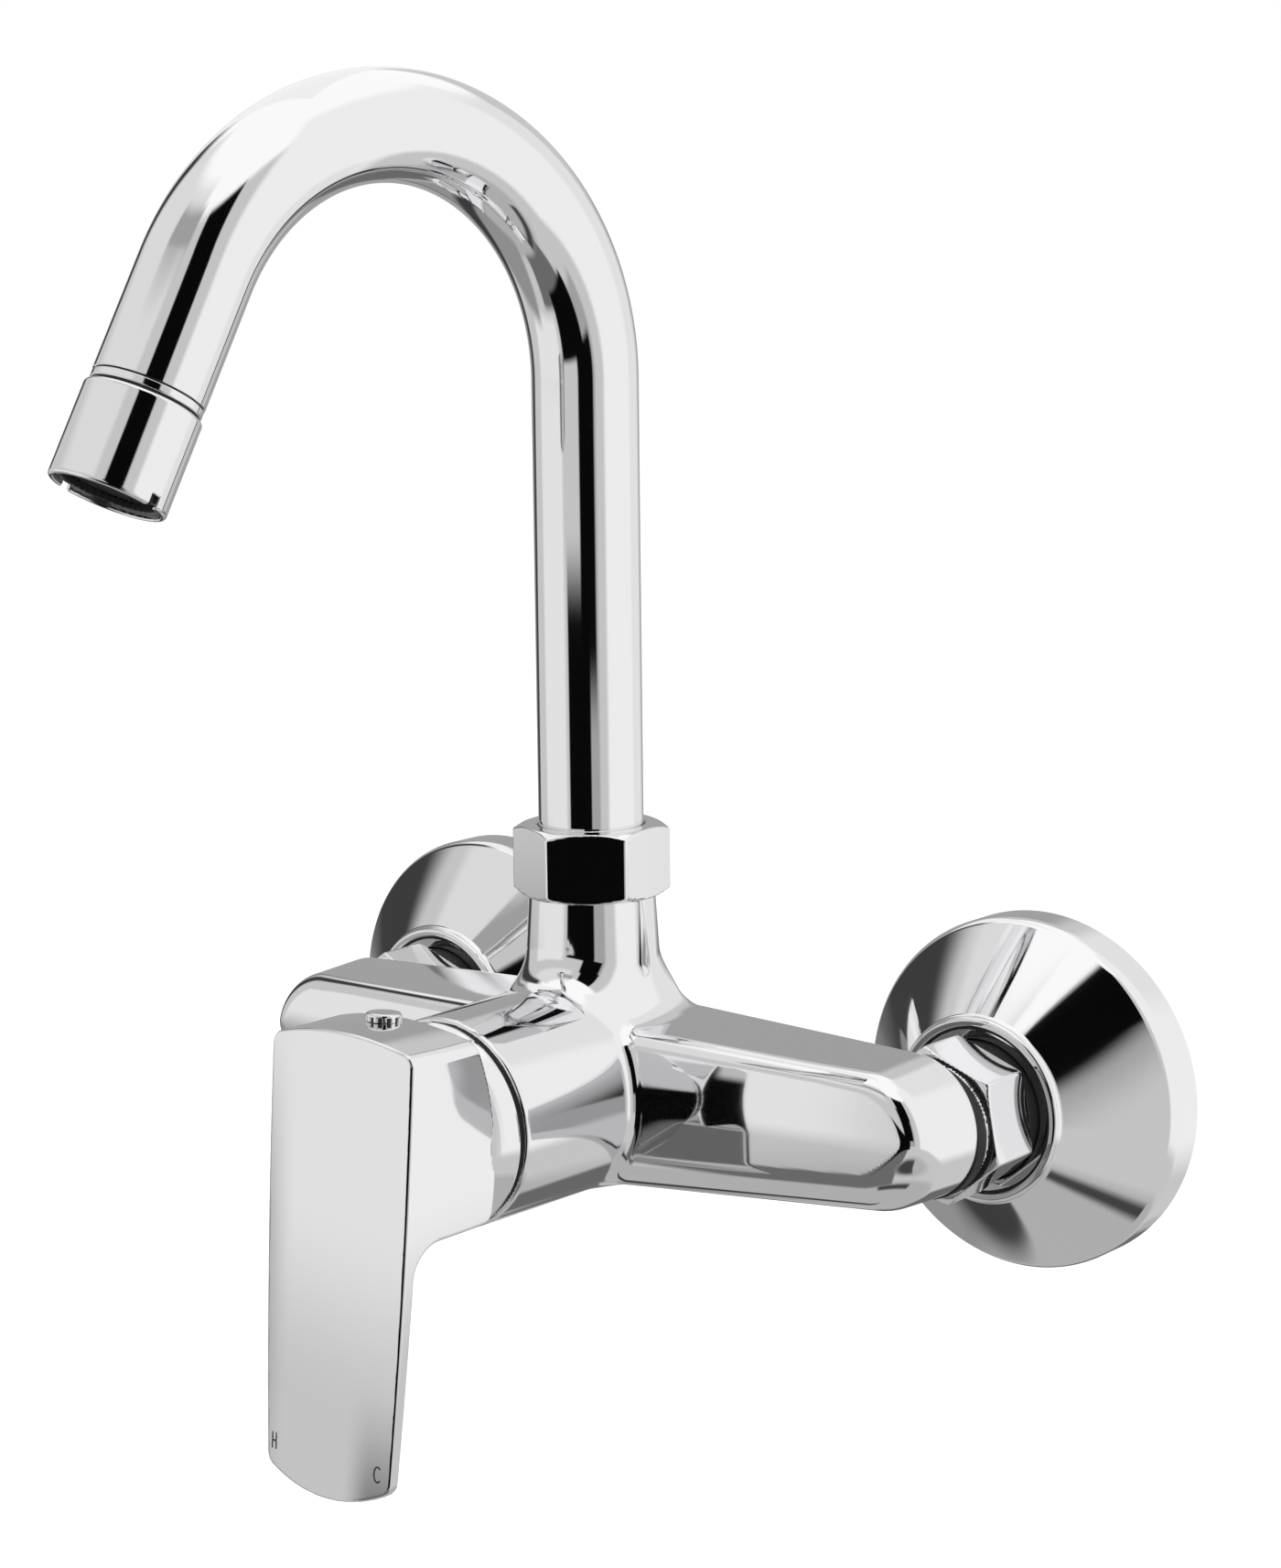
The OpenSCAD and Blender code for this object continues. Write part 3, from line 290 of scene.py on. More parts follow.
def body_hollows(x, d, z):
    """The cartridge chamber with its wider thread, the bore of the neck and the two inlet sockets."""
    rho = np.hypot(x, z - BARREL_Z)
    chamber = round_cut(rho - CHAMBER_R, CHAMBER_BACK - d, BORE_EDGE)
    thread = round_cut(rho - THREAD_R, THREAD_BACK - d, BORE_EDGE)
    bore = round_cut(np.hypot(x, d - STEM_Y) - NECK_BORE_R, NECK_BORE_LOW - z, BORE_EDGE)
    socket = round_cut(np.hypot(np.abs(x) - INLET_X, z) - SOCKET_R, d - SOCKET_FRONT, BORE_EDGE)
    return np.minimum(np.minimum(chamber, thread), np.minimum(bore, socket))


def body_field(x, y, z):
    d = -y
    shape = fillet_join(arm_field(x, d, z), barrel_field(x, d, z), BARREL_FILLET)
    shape = fillet_join(shape, neck_field(x, d, z), NECK_FILLET)
    shape = round_cut(shape, NECK_BACK - d, BACK_EDGE)
    return round_cut(shape, -body_hollows(x, d, z), MOUTH_EDGE)


def build_body():
    shape = solid_mesh(body_field, *BODY_BOX, finer(0.6))
    make_piece("body_shell", shape, chrome("body"), "mixer", "body_chrome", ["mixer_body"])


# ---------- Inlets. Turned profiles have corners (radius, distance from the wall, fillet radius) ----------
NUT_AF, NUT_EDGE, NUT_CORNER = 29.0, 0.3, 0.4
NUT_CHAMFER_RISE, NUT_CHAMFER_SCALE = 1.9, 0.466
SHOULDER_R, SHOULDER_EDGE = 13.2, 1.0
UNION_BACK, UNION_FRONT, UNION_END, UNION_TURN = 28.0, 41.5, 43.5, 40.0
UNION_CUT = (-1.6, -0.6)
UNION_BORES = [(13.2, 0, 40.8), (11.13, 0, 60)]
NUT_REACH = 18
FLANGE_R, FLANGE_WALL, FLANGE_RIM, FLANGE_SHOULDER_R = 37.9, 1.2, 9.0, 3.6
LIP_R, LIP_IN_R, LIP_FRONT, LIP_EDGE = 19.7, 17.6, 26.0, 0.9
WEB_R, WEB_FRONT, WEB_BACK, SLEEVE_BACK = 15.0, 24.8, 24.15, 19.6
# past GRIP_WEB the grip ring runs on to the union nut as a black ring of painted shade
GRIP_R, GRIP_BACK, GRIP_WEB, GRIP_SHADE_END = 13.1, 19.8, 23.7, 27.95
# radii of the black ring of painted shade between a union nut and the body
INLET_SHADE_IN_R, INLET_SHADE_R = 11.4, 14.1


def build_flange(name, x):
    inside = FLANGE_R - FLANGE_WALL
    corners = [
        (inside, 0, 0.3), (FLANGE_R, 0, 0.3), (FLANGE_R, FLANGE_RIM, FLANGE_SHOULDER_R),
        (LIP_R + 0.05, LIP_FRONT - 1.4, 1.6), (LIP_R, LIP_FRONT, LIP_EDGE), (LIP_IN_R, LIP_FRONT, LIP_EDGE),
        (LIP_IN_R - 0.3, LIP_FRONT - 1, 0.5), (WEB_R, WEB_FRONT, 0.2), (WEB_R, WEB_BACK, 0.2),
        (LIP_IN_R + 0.05, WEB_BACK - 0.05, 0.2), (LIP_IN_R + 0.05, SLEEVE_BACK, 0.3),
        (LIP_R - 0.9, SLEEVE_BACK, 0.3), (LIP_R - 0.9, LIP_FRONT - 2.6, 0.5), (inside, FLANGE_RIM - 1, 0.6),
    ]
    shape = placed(lathe(corners, 192), wall_frame(x))
    make_piece("flange_" + name, shape, chrome("flange"), "mixer", "flange_chrome", ["wall_flange_" + name])


def build_grip_ring_and_shade(name, x):
    """The black ring that holds a flange on its leg, and that reaches on into the gap behind the union nut
    as painted shade.
    """
    corners = [
        (GRIP_R, GRIP_BACK, 0.3), (LIP_IN_R - 0.2, GRIP_BACK, 0.3), (LIP_IN_R - 0.2, GRIP_WEB, 0.3),
        (WEB_R - 0.25, GRIP_WEB + 0.1, 0.2), (WEB_R - 0.6, GRIP_SHADE_END, 0.6), (GRIP_R, GRIP_SHADE_END, 0.1),
    ]
    shape = placed(lathe(corners, 96), wall_frame(x))
    make_piece("grip_ring_" + name, shape, rubber(), "mixer", "rubber", ["flange_grip_ring_" + name])


def build_inlet_painted_shade(name, x):
    """A black ring of painted shade in the gap between a union nut and the body."""
    corners = sleeve(INLET_SHADE_IN_R, INLET_SHADE_R, UNION_END - 0.4, BODY_BACK - 0.1, 0.2, 0.3)
    shape = placed(lathe(corners, 96), wall_frame(x))
    make_piece("inlet_painted_shade_" + name, shape, rubber(), "mixer", "rubber")


def hexagon_field(x, y, turn):
    """Distance in the plane to a hexagon with slightly rounded corners."""
    best = None
    for i in range(3):
        a = math.radians(turn + 30 + 60 * i)
        face = np.abs(x * math.cos(a) + y * math.sin(a)) - NUT_AF / 2
        best = face if best is None else round_cut(best, face, NUT_CORNER)
    return best


def nut_field(turn, low, top, bores, cut, shoulder_end=None):
    """A hexagon nut about z with turned ends, stepped bores (radius, from, to) and maybe a shoulder."""
    def field(x, y, z):
        rho = np.hypot(x, y)
        below, above = cut[0] - (z - low) * NUT_CHAMFER_RISE, cut[1] - (top - z) * NUT_CHAMFER_RISE
        chamfer = np.maximum(below, above) + rho - NUT_AF / 2
        shape = round_cut(hexagon_field(x, y, turn), chamfer * NUT_CHAMFER_SCALE, NUT_EDGE)
        shape = round_cut(shape, between(z, low, top), NUT_EDGE)
        if shoulder_end:
            step = round_cut(rho - SHOULDER_R, between(z, low + 1, shoulder_end), SHOULDER_EDGE)
            shape = np.minimum(shape, step)
        for r, start, end in bores:
            shape = round_cut(shape, -np.maximum(rho - r, between(z, start, end)), NUT_EDGE)
        return shape
    return field


def nut_mesh(field, low, high):
    return solid_mesh(field, (-NUT_REACH, -NUT_REACH, low - 1), (NUT_REACH, NUT_REACH, high + 1), 0.4)


def build_union_nut(name, x):
    field = nut_field(UNION_TURN, UNION_BACK, UNION_FRONT, UNION_BORES, UNION_CUT, UNION_END)
    shape = placed(nut_mesh(field, UNION_BACK, UNION_END), wall_frame(x))
    slot, hides = "union_nut_chrome", ["union_nut_" + name]
    make_piece("union_nut_shell_" + name, shape, chrome("nut"), "mixer", slot, hides)


# ---------- Spout. Its end has a frame of its own, with z along the flow from the bend's end ----------
SPOUT_NUT_TURN, SPOUT_NUT_CUT = 35.0, (0.1, 0.1)
SPOUT_NUT_BORES = [(13.24, 40, 56.8), (11.4, 40, 60)]
TUBE_R, TUBE_WALL, TUBE_EDGE, TUBE_SIDES = 11.1, 1.0, 0.3, 120
TUBE_FOOT, TUBE_END = 56.0, 24.1
BEND_Z, BEND_R, BEND_SWEEP = 151.2, 51.2, math.radians(152.0)
STRAIGHT, BEND = BEND_Z - TUBE_FOOT, BEND_R * BEND_SWEEP
SPOUT_TURN = 9.2
RING_START, RING_BACK, RING_END = 24.45, 18.1, 26.1
RING_BORE_R, RING_TAIL_R, RING_NECK_R, RING_TAIL_END = 8.8, 10.06, 10.4, 33.6
HOUSING_START, HOUSING_END, HOUSING_R = 26.6, 46.1, 11.65
HOUSING_EDGE, HOUSING_BORE_EDGE = 0.8, 0.35
HOUSING_BORES = ((10.4, 20, 37.15), (9.65, 20, 60), (10.55, 43.5, 60))
NOTCH_TURN, NOTCH_DEPTH, NOTCH_W, NOTCH_EDGE = math.radians(-14.0), 2.4, 2.2, 0.3
GRID_TOP, GRID_END, GRID_R, GRID_WALL = 30.6, 43.5, 9.55, 0.8
GRID_COLLAR_R, GRID_COLLAR_IN_R, GRID_COLLAR_H = 10.45, 9.3, 1.4
GRID_RIBS, GRID_RIB_H = 40, 0.22
BAR_PITCH, BAR_W, BAR_H, BAR_REACH = 2.2, 0.76, 1.1, 9.4


def spout_plane():
    """Matrix of the spout's own plane: z up the stem, spout towards -y."""
    return Matrix.Translation((0, -STEM_Y, 0)) @ Matrix.Rotation(math.radians(-SPOUT_TURN), 4, "Z")


def build_spout_nut():
    field = nut_field(SPOUT_NUT_TURN, SPOUT_NUT_LOW, SPOUT_NUT_TOP, SPOUT_NUT_BORES, SPOUT_NUT_CUT)
    shape = placed(nut_mesh(field, SPOUT_NUT_LOW, SPOUT_NUT_TOP), Matrix.Translation((0, -STEM_Y, 0)))
    make_piece("spout_nut_shell", shape, chrome("nut"), "mixer", "spout_nut_chrome", ["spout_nut"])


def spout_path(s):
    """Place and direction at the length s along the spout's centre line, in the spout's plane."""
    if s <= STRAIGHT:
        return (0, TUBE_FOOT + s), (0, 1)
    a = min((s - STRAIGHT) / BEND_R, BEND_SWEEP)
    ahead = (math.sin(a), math.cos(a))
    rest = max(s - STRAIGHT - BEND, 0)
    out = BEND_R * (1 - math.cos(a)) + ahead[0] * rest
    up = BEND_Z + BEND_R * math.sin(a) + ahead[1] * rest
    return (out, up), ahead


def spout_rows():
    """Length, radius and side of each ring of points: up the tube's outside, then back down its inside."""
    stations = np.concatenate([
        np.arange(0, STRAIGHT, 4.0),
        STRAIGHT + np.arange(0, BEND, 1.0),
        STRAIGHT + BEND + np.linspace(0, TUBE_END, 7),
    ])
    rows = [(0.0, TUBE_R - TUBE_EDGE, 1), (TUBE_EDGE, TUBE_R, 1)]
    rows += [(s, TUBE_R, 1) for s in stations if s > TUBE_EDGE + 0.5]
    return rows + [(s, TUBE_R - TUBE_WALL, -1) for s in reversed(stations)]


def build_spout_tube():
    turn = np.linspace(0, 2 * math.pi, TUBE_SIDES, endpoint=False)
    points, normals = [], []
    for s, r, side in spout_rows():
        (out, up), (ahead_out, ahead_up) = spout_path(s)
        across = np.stack([np.sin(turn), -np.cos(turn) * ahead_up, -np.cos(turn) * ahead_out], -1)
        points.append(np.array((0, -out, up)) + r * across)
        normals.append(side * across)
    i, j = np.meshgrid(np.arange(len(points)), np.arange(TUBE_SIDES), indexing="ij")
    i2, j2 = (i + 1) % len(points), (j + 1) % TUBE_SIDES
    n = TUBE_SIDES
    faces = np.stack([i * n + j, i * n + j2, i2 * n + j2, i2 * n + j], -1).reshape(-1, 4)
    shape = placed((np.concatenate(points), faces, np.concatenate(normals)), spout_plane())
    make_piece("spout_pipe", shape, chrome("tube"), "spout", "tube_chrome", ["spout_tube"])


def end_matrix():
    """Matrix at the end of the bend, with z along the flow and x across the spout's plane."""
    (out, up), (ahead_out, ahead_up) = spout_path(STRAIGHT + BEND)
    flow = Vector((0, -ahead_out, ahead_up))
    across = Vector((1, 0, 0))
    m = Matrix((across, flow.cross(across), flow)).transposed().to_4x4()
    m.translation = (0, -out, up)
    return spout_plane() @ m


def build_end_ring():
    """The bright ring between tube and housing, with a sleeve into each."""
    outer, lower_r = TUBE_R - 0.1, RING_NECK_R - 0.04
    corners = [
        (RING_BORE_R, RING_BACK, 0.2), (RING_TAIL_R, RING_BACK, 0.2), (RING_TAIL_R, TUBE_END, 0.05),
        (RING_NECK_R, TUBE_END, 0.05), (RING_NECK_R, RING_START, 0.05), (outer, RING_START, 0.3),
        (outer, RING_END, 0.35), (lower_r, RING_END, 0.1), (lower_r, RING_TAIL_END, 0.3),
        (RING_BORE_R, RING_TAIL_END, 0.3),
    ]
    shape = placed(lathe(corners, 120), end_matrix())
    make_piece("spout_end_band", shape, chrome("ring"), "spout", "ring_chrome", ["tube_end_ring"])


def build_end_shade_rings():
    """Dark rings of painted shade in the grooves above and below the bright ring at the end of the spout."""
    shade_bands = (("upper", TUBE_END - 0.05, RING_START), ("lower", RING_END, HOUSING_START + 0.3))
    for name, low, high in shade_bands:
        # black rings that stand in for the shade in these grooves
        corners = sleeve(RING_NECK_R, TUBE_R - 0.4, low, high, 0.02, 0.1)
        shape = placed(lathe(corners, 96), end_matrix())
        make_piece("spout_painted_shade_" + name, shape, rubber(), "spout", "rubber")


def housing_field(x, y, z):
    rho = np.hypot(x, y)
    shape = round_cut(rho - HOUSING_R, between(z, HOUSING_START, HOUSING_END), HOUSING_EDGE)
    for r, start, end in HOUSING_BORES:
        shape = round_cut(shape, -np.maximum(rho - r, between(z, start, end)), HOUSING_BORE_EDGE)
    off = np.abs(-x * math.sin(NOTCH_TURN) + y * math.cos(NOTCH_TURN)) - NOTCH_W / 2
    return round_cut(shape, -np.maximum(off, HOUSING_END - NOTCH_DEPTH - z), NOTCH_EDGE)


def build_housing():
    shape = solid_mesh(housing_field, (-13, -13, 25.5), (13, 13, 47), finer(0.25))
    shape = placed(shape, end_matrix())
    make_piece("aerator_shell", shape, chrome("aerator"), "spout", "aerator_chrome", ["aerator_housing"])


def grid_field(x, y, z):
    """The black insert in the outlet: a sleeve with a ribbed collar, and two layers of crossed bars. The
    collar lines the end of the chrome bore in black, as a painted dark reflection.
    """
    rho = np.hypot(x, y)
    wall = np.abs(rho - GRID_R + GRID_WALL / 2) - GRID_WALL / 2
    sleeve_part = np.maximum(wall, between(z, GRID_TOP, GRID_END))
    ribs = GRID_RIB_H * np.cos(GRID_RIBS * np.arctan2(y, x))
    # the collar covers the last of the chrome bore in black: painted dark reflection
    collar = np.maximum(rho - GRID_COLLAR_R, GRID_COLLAR_IN_R + ribs - rho)
    collar = np.maximum(collar, np.abs(z - GRID_END - 0.75) - GRID_COLLAR_H / 2)
    shape = np.minimum(sleeve_part, collar)
    for across, level in ((x, GRID_END - 0.6), (y, GRID_END - 1.5)):
        off = np.abs(np.mod(across + BAR_PITCH / 2, BAR_PITCH) - BAR_PITCH / 2) - BAR_W / 2
        bars = np.maximum(np.maximum(off, np.abs(z - level) - BAR_H / 2), rho - BAR_REACH)
        shape = np.minimum(shape, bars)
    return shape


def build_grid():
    shape = solid_mesh(grid_field, (-11, -11, GRID_TOP - 0.5), (11, 11, GRID_END + 2), finer(0.22))
    shape = placed(shape, end_matrix())
    make_piece("aerator_grid", shape, black_plastic(), "spout", "black_plastic", ["aerator_insert"])


# ---------- Dome ring ----------
# the black ring of painted shade in the seam between the barrel and the dome ring
DOME_SHADE_R, DOME_SHADE_IN_R, DOME_SHADE_BACK, DOME_SHADE_FRONT = 20.7, 18.9, 106.4, 108.4
DOME_R, DOME_WALL, DOME_BLEND = 22.1, 1.4, 8.0
DOME_RIM_TURN, DOME_OPEN_TURN, DOME_INNER_TURN = 15.5, 44.4, 20.0
DOME_THREAD_R, DOME_THREAD_IN_R, DOME_THREAD_BACK, DOME_RIM_BACK = 18.96, 17.66, 101.1, 108.3


def build_barrel_shade_ring():
    """A black ring of painted shade in the seam between the barrel and the dome ring."""
    corners = sleeve(DOME_SHADE_IN_R, DOME_SHADE_R, DOME_SHADE_BACK, DOME_SHADE_FRONT, 0.1, 0.2)
    shape = placed(lathe(corners), wall_frame(0, BARREL_Z))
    make_piece("barrel_painted_shade", shape, rubber(), "mixer", "rubber")


def dome_arc(radius, start, end, count):
    """Corners along a circle about the pivot, from one angle to another in degrees."""
    turns = np.radians(np.linspace(start, end, count))
    return [(radius * math.cos(a), PIVOT_Y + radius * math.sin(a), DOME_BLEND) for a in turns]


def build_dome_ring():
    outer = dome_arc(DOME_R, DOME_RIM_TURN, DOME_OPEN_TURN, 12)
    inner = dome_arc(DOME_R - DOME_WALL, DOME_OPEN_TURN - 2, DOME_INNER_TURN, 8)
    corners = [
        (DOME_THREAD_IN_R, DOME_THREAD_BACK, 0.2), (DOME_THREAD_R, DOME_THREAD_BACK, 0.2),
        (DOME_THREAD_R, DOME_RIM_BACK, 0.15), (outer[0][0], DOME_RIM_BACK, 0.2),
    ]
    corners += [(*outer[0][:2], 0.1)] + outer[1:-1] + [(*outer[-1][:2], 0.3)]
    corners += [(*inner[0][:2], 0.3)] + inner[1:-1] + [(DOME_THREAD_IN_R, DOME_RIM_BACK + 0.6, 0.3)]
    shape = placed(lathe(corners, 160, 3), wall_frame(0, BARREL_Z))
    make_piece("dome_band", shape, chrome("dome"), "mixer", "dome_chrome", ["dome_ring"])


# ---------- Lever ----------
LEVER_EDGE, LEVER_LEAN, LEVER_BULGE = 138.69, 0.0825, 1.2
LEVER_HALF_W, LEVER_SIDE_R, LEVER_WAIST = 19.6, 165.0, 16.0
LEVER_FLANK_R, LEVER_WIDEST_Z = 1340.0, 15.0
LEVER_FACE_SCALE = 0.995        # makes the leaning front's field a distance
LEVER_TIP_Z, LEVER_TIP_R, LEVER_TIP_EDGE = -65.1, 35.2, 1.4
CROWN_Z, CROWN_R, CROWN_FALL, CROWN_CORNER_R = 28.3, 63.0, 0.013, 2.2
BLADE_T, BLADE_T_GROWTH, BLADE_LOW, BLADE_SPAN = 2.0, 0.7, -61.0, 41.0
HUB_BACK, HUB_UNDER, HUB_BOW_R, HUB_Z = 113.5, 12.4, 58.0, 1.0
HUB_EDGE, HUB_FILLET = 2.2, 6.5
LEVER_EDGE_R, BALL_GAP, BALL_EDGE = 0.6, 0.45, 0.3
LEVER_BOX = ((-21, -147, -67), (21, -113, 30))
PLUG_Y, PLUG_Z, PLUG_R, PLUG_H = 124.5, 27.95, 3.6, 1.85
PLUG_RIBS, PLUG_GROOVE = 12, 0.5
HOT_AT, COLD_AT = (-14.6, -56.6), (13.6, -57.4)
MARK_H, MARK_HALF_W, MARK_LINE, MARK_PROUD, MARK_DEPTH = 3.1, 0.744, 0.36, 0.04, 0.3


def lever_outline(x, d, z):
    """Front view of the lever: bowed sides, an arched top that falls to the rear, an arched tip."""
    bulge = (d - LEVER_EDGE + LEVER_LEAN * z + LEVER_WAIST) ** 2 / (2 * LEVER_SIDE_R)
    side = np.hypot(np.abs(x) + LEVER_FLANK_R - LEVER_HALF_W, z - LEVER_WIDEST_Z) - LEVER_FLANK_R + bulge
    crown = CROWN_Z - CROWN_FALL * (LEVER_EDGE - d)
    top = np.hypot(x, np.maximum(z - crown + CROWN_R, 0)) - CROWN_R
    tip = np.hypot(x, np.minimum(z - LEVER_TIP_Z - LEVER_TIP_R, 0)) - LEVER_TIP_R
    return round_cut(round_cut(side, top, CROWN_CORNER_R), tip, LEVER_TIP_EDGE)


def lever_front(x, z):
    """Distance from the wall to the lever's bowed front face."""
    return LEVER_EDGE - LEVER_LEAN * z + LEVER_BULGE * (1 - (x / LEVER_HALF_W) ** 2)


def lever_field(x, y, z):
    d = -y
    front = (d - lever_front(x, z)) * LEVER_FACE_SCALE
    thick = BLADE_T + BLADE_T_GROWTH * np.clip((z - BLADE_LOW) / BLADE_SPAN, 0, 1.2)
    blade_back = LEVER_EDGE - LEVER_LEAN * z - thick - d
    hub_back = np.hypot(d - HUB_BACK - HUB_BOW_R, z - HUB_Z) - HUB_BOW_R
    hub = round_cut(hub_back, -HUB_UNDER - z, HUB_EDGE)
    back = fillet_join(blade_back, hub, HUB_FILLET)
    shape = round_cut(round_cut(lever_outline(x, d, z), front, LEVER_EDGE_R), back, LEVER_EDGE_R)
    ball = np.sqrt(x * x + (d - PIVOT_Y) ** 2 + (z - BARREL_Z) ** 2) - DOME_R - BALL_GAP
    return round_cut(shape, -ball, BALL_EDGE)


def build_lever():
    shape = solid_mesh(lever_field, *LEVER_BOX, finer(0.35))
    make_piece("lever_shell", shape, chrome("lever"), "lever", "lever_chrome", ["lever"])


def mark_field(strokes):
    """Strokes of a small inlaid mark that follows the lever's front face."""
    def field(x, y, z):
        off = None
        for (x0, z0), (x1, z1) in strokes:
            run = (x1 - x0) ** 2 + (z1 - z0) ** 2
            t = np.clip(((x - x0) * (x1 - x0) + (z - z0) * (z1 - z0)) / run, 0, 1)
            one = np.hypot(x - x0 - t * (x1 - x0), z - z0 - t * (z1 - z0)) - MARK_LINE / 2
            off = one if off is None else np.minimum(off, one)
        deep = -y - lever_front(x, z)
        return np.maximum(off, between(deep, -MARK_DEPTH, MARK_PROUD))
    return field


def build_mark(name, x, z, strokes):
    strokes = [((x + a, z + b), (x + c, z + d)) for (a, b), (c, d) in strokes]
    front = lever_front(x, z)
    reach = MARK_H / 2 + 1
    low, high = (x - 2, -front - 0.5, z - reach), (x + 2, -front + 0.8, z + reach)
    shape = solid_mesh(mark_field(strokes), low, high, 0.1)
    make_piece("mark_" + name, shape, black_plastic(), "lever", "black_plastic")


def build_marks():
    """The plain marks at the lever's lower corners: H for hot on the left and C for cold on the right."""
    high, wide = MARK_H / 2, 0.75 * MARK_HALF_W
    hot = [((-wide, -high), (-wide, high)), ((wide, -high), (wide, high)), ((-wide, 0), (wide, 0))]
    build_mark("hot", *HOT_AT, hot)
    turns = np.radians(np.linspace(50, 310, 14))
    bow = [(1.15 * MARK_HALF_W * math.cos(a), high * math.sin(a)) for a in turns]
    build_mark("cold", *COLD_AT, list(zip(bow[:-1], bow[1:])))


def plug_matrix():
    return Matrix.Translation((0, -PLUG_Y, PLUG_Z)) @ Matrix.Rotation(-math.atan(LEVER_LEAN), 4, "X")


def build_plug():
    """A domed plug with upright grooves in its side."""
    corners = [(0.01, 0.05, 0.005), (PLUG_R, 0.05, 0.1)]
    corners += [(PLUG_R, PLUG_H - drop, 0.1) for drop in (0.96, 0.9, 0.84, 0.78)]
    corners += [(PLUG_R, PLUG_H - 0.1, 0.6), (0.01, PLUG_H, 0.005)]
    points, faces, normals = lathe(corners, 288, 8)
    turn = np.arctan2(points[:, 1], points[:, 0])
    wide = np.maximum(np.hypot(points[:, 0], points[:, 1]), 0.1)
    depth = PLUG_GROOVE * ramp(wide, PLUG_R - 0.3, PLUG_R - 0.05)
    depth = depth * (1 - ramp(points[:, 2], PLUG_H - 0.96, PLUG_H - 0.7))

    def groove(a):
        return depth * ramp(np.cos(PLUG_RIBS * a), -0.3, 0.6)

    slope = (groove(turn + 0.001) - groove(turn - 0.001)) / 0.002 / wide
    points[:, :2] *= (1 - groove(turn) / wide)[:, None]
    normals = normals + slope[:, None] * np.stack([-np.sin(turn), np.cos(turn), 0 * turn], -1)
    normals /= np.linalg.norm(normals, axis=1, keepdims=True)
    shape = placed((points, faces, normals), plug_matrix())
    make_piece("lever_plug_cap", shape, chrome("plug"), "lever", "plug_chrome", ["lever_plug"])


def build_plug_shade_core():
    """A black ring of painted shade that shows in the plug's grooves."""
    core = PLUG_R - 0.6 * PLUG_GROOVE
    corners = sleeve(core - 0.8, core, 0.1, PLUG_H - 0.8, 0.05, 0.05)
    shape = placed(lathe(corners, 96, 2), plug_matrix())
    make_piece("lever_plug_painted_shade", shape, black_plastic(), "lever", "black_plastic")


# ---------- Materials ----------
CHROME_COLOUR = (0.86, 0.86, 0.87)
EVEN, ALONG_TUBE = (1, 1, 1), (1, 1, 0.3)
# lowest and highest roughness, and the scale of the change between them
POLISH = {
    "body": (0.03, 0.06, 60.0), "tube": (0.03, 0.05, 50.0), "ring": (0.05, 0.09, 80.0),
    "aerator": (0.03, 0.06, 80.0), "dome": (0.03, 0.06, 60.0), "nut": (0.04, 0.08, 80.0),
    "flange": (0.03, 0.06, 50.0), "lever": (0.03, 0.06, 60.0), "plug": (0.06, 0.12, 200.0),
}
NOISE_LOW, NOISE_HIGH = 0.3, 0.7
# depth in metres, strength and relative scale of the chrome's waviness; strength and scale of a grain
WAVE_DEPTH, WAVE_STRENGTH, WAVE_SCALE = 0.00002, 0.4, 1.5
GRAIN_STRENGTH, GRAIN_SCALE, MOTTLE_SCALE, MOTTLE_SHADE = 0.3, 4, 0.6, 0.8
made = {}


def node(tree, kind, **values):
    """A shader node with its sockets and settings filled in."""
    new = tree.nodes.new(kind)
    for key, value in values.items():
        if key in new.inputs:
            new.inputs[key].default_value = value
        else:
            setattr(new, key, value)
    return new


def new_material(name, colour, metallic, roughness):
    mat = bpy.data.materials.new(name)
    mat.use_nodes = True
    shader = mat.node_tree.nodes["Principled BSDF"]
    shader.inputs["Base Color"].default_value = (*colour, 1)
    shader.inputs["Metallic"].default_value = metallic
    shader.inputs["Roughness"].default_value = roughness
    return mat, mat.node_tree, shader


def soft_noise(tree, coords, scale, detail, stretch):
    mapping = node(tree, "ShaderNodeMapping", Scale=stretch)
    noise = node(tree, "ShaderNodeTexNoise", Scale=scale, Detail=detail)
    tree.links.new(coords.outputs["Object"], mapping.inputs["Vector"])
    tree.links.new(mapping.outputs["Vector"], noise.inputs["Vector"])
    return noise.outputs["Fac"]


def vary_roughness(tree, shader, coords, scale, low, high, detail, stretch=EVEN):
    """Drives the roughness from a soft noise between low and high."""
    span = node(tree, "ShaderNodeMapRange")
    span.inputs["From Min"].default_value = NOISE_LOW
    span.inputs["From Max"].default_value = NOISE_HIGH
    span.inputs["To Min"].default_value = low
    span.inputs["To Max"].default_value = high
    tree.links.new(soft_noise(tree, coords, scale, detail, stretch), span.inputs["Value"])
    tree.links.new(span.outputs["Result"], shader.inputs["Roughness"])


def ripple(tree, shader, coords, scale, distance, strength, detail, stretch=EVEN):
    """A fine unevenness of the surface, as a bump."""
    bump = node(tree, "ShaderNodeBump", Strength=strength, Distance=distance)
    tree.links.new(soft_noise(tree, coords, scale, detail, stretch), bump.inputs["Height"])
    tree.links.new(bump.outputs["Normal"], shader.inputs["Normal"])


def chrome(kind):
    """Bright chrome plate with slight differences in polish and a faint waviness."""
    name = "chrome_" + kind
    if name not in made:
        low, high, scale = POLISH[kind]
        stretch = ALONG_TUBE if kind == "tube" else EVEN
        mat, tree, shader = new_material(name, CHROME_COLOUR, 1.0, low)
        coords = node(tree, "ShaderNodeTexCoord")
        vary_roughness(tree, shader, coords, scale, low, high, 3.0, stretch)
        ripple(tree, shader, coords, scale * WAVE_SCALE, WAVE_DEPTH, WAVE_STRENGTH, 1.0, stretch)
        made[name] = mat
    return made[name]


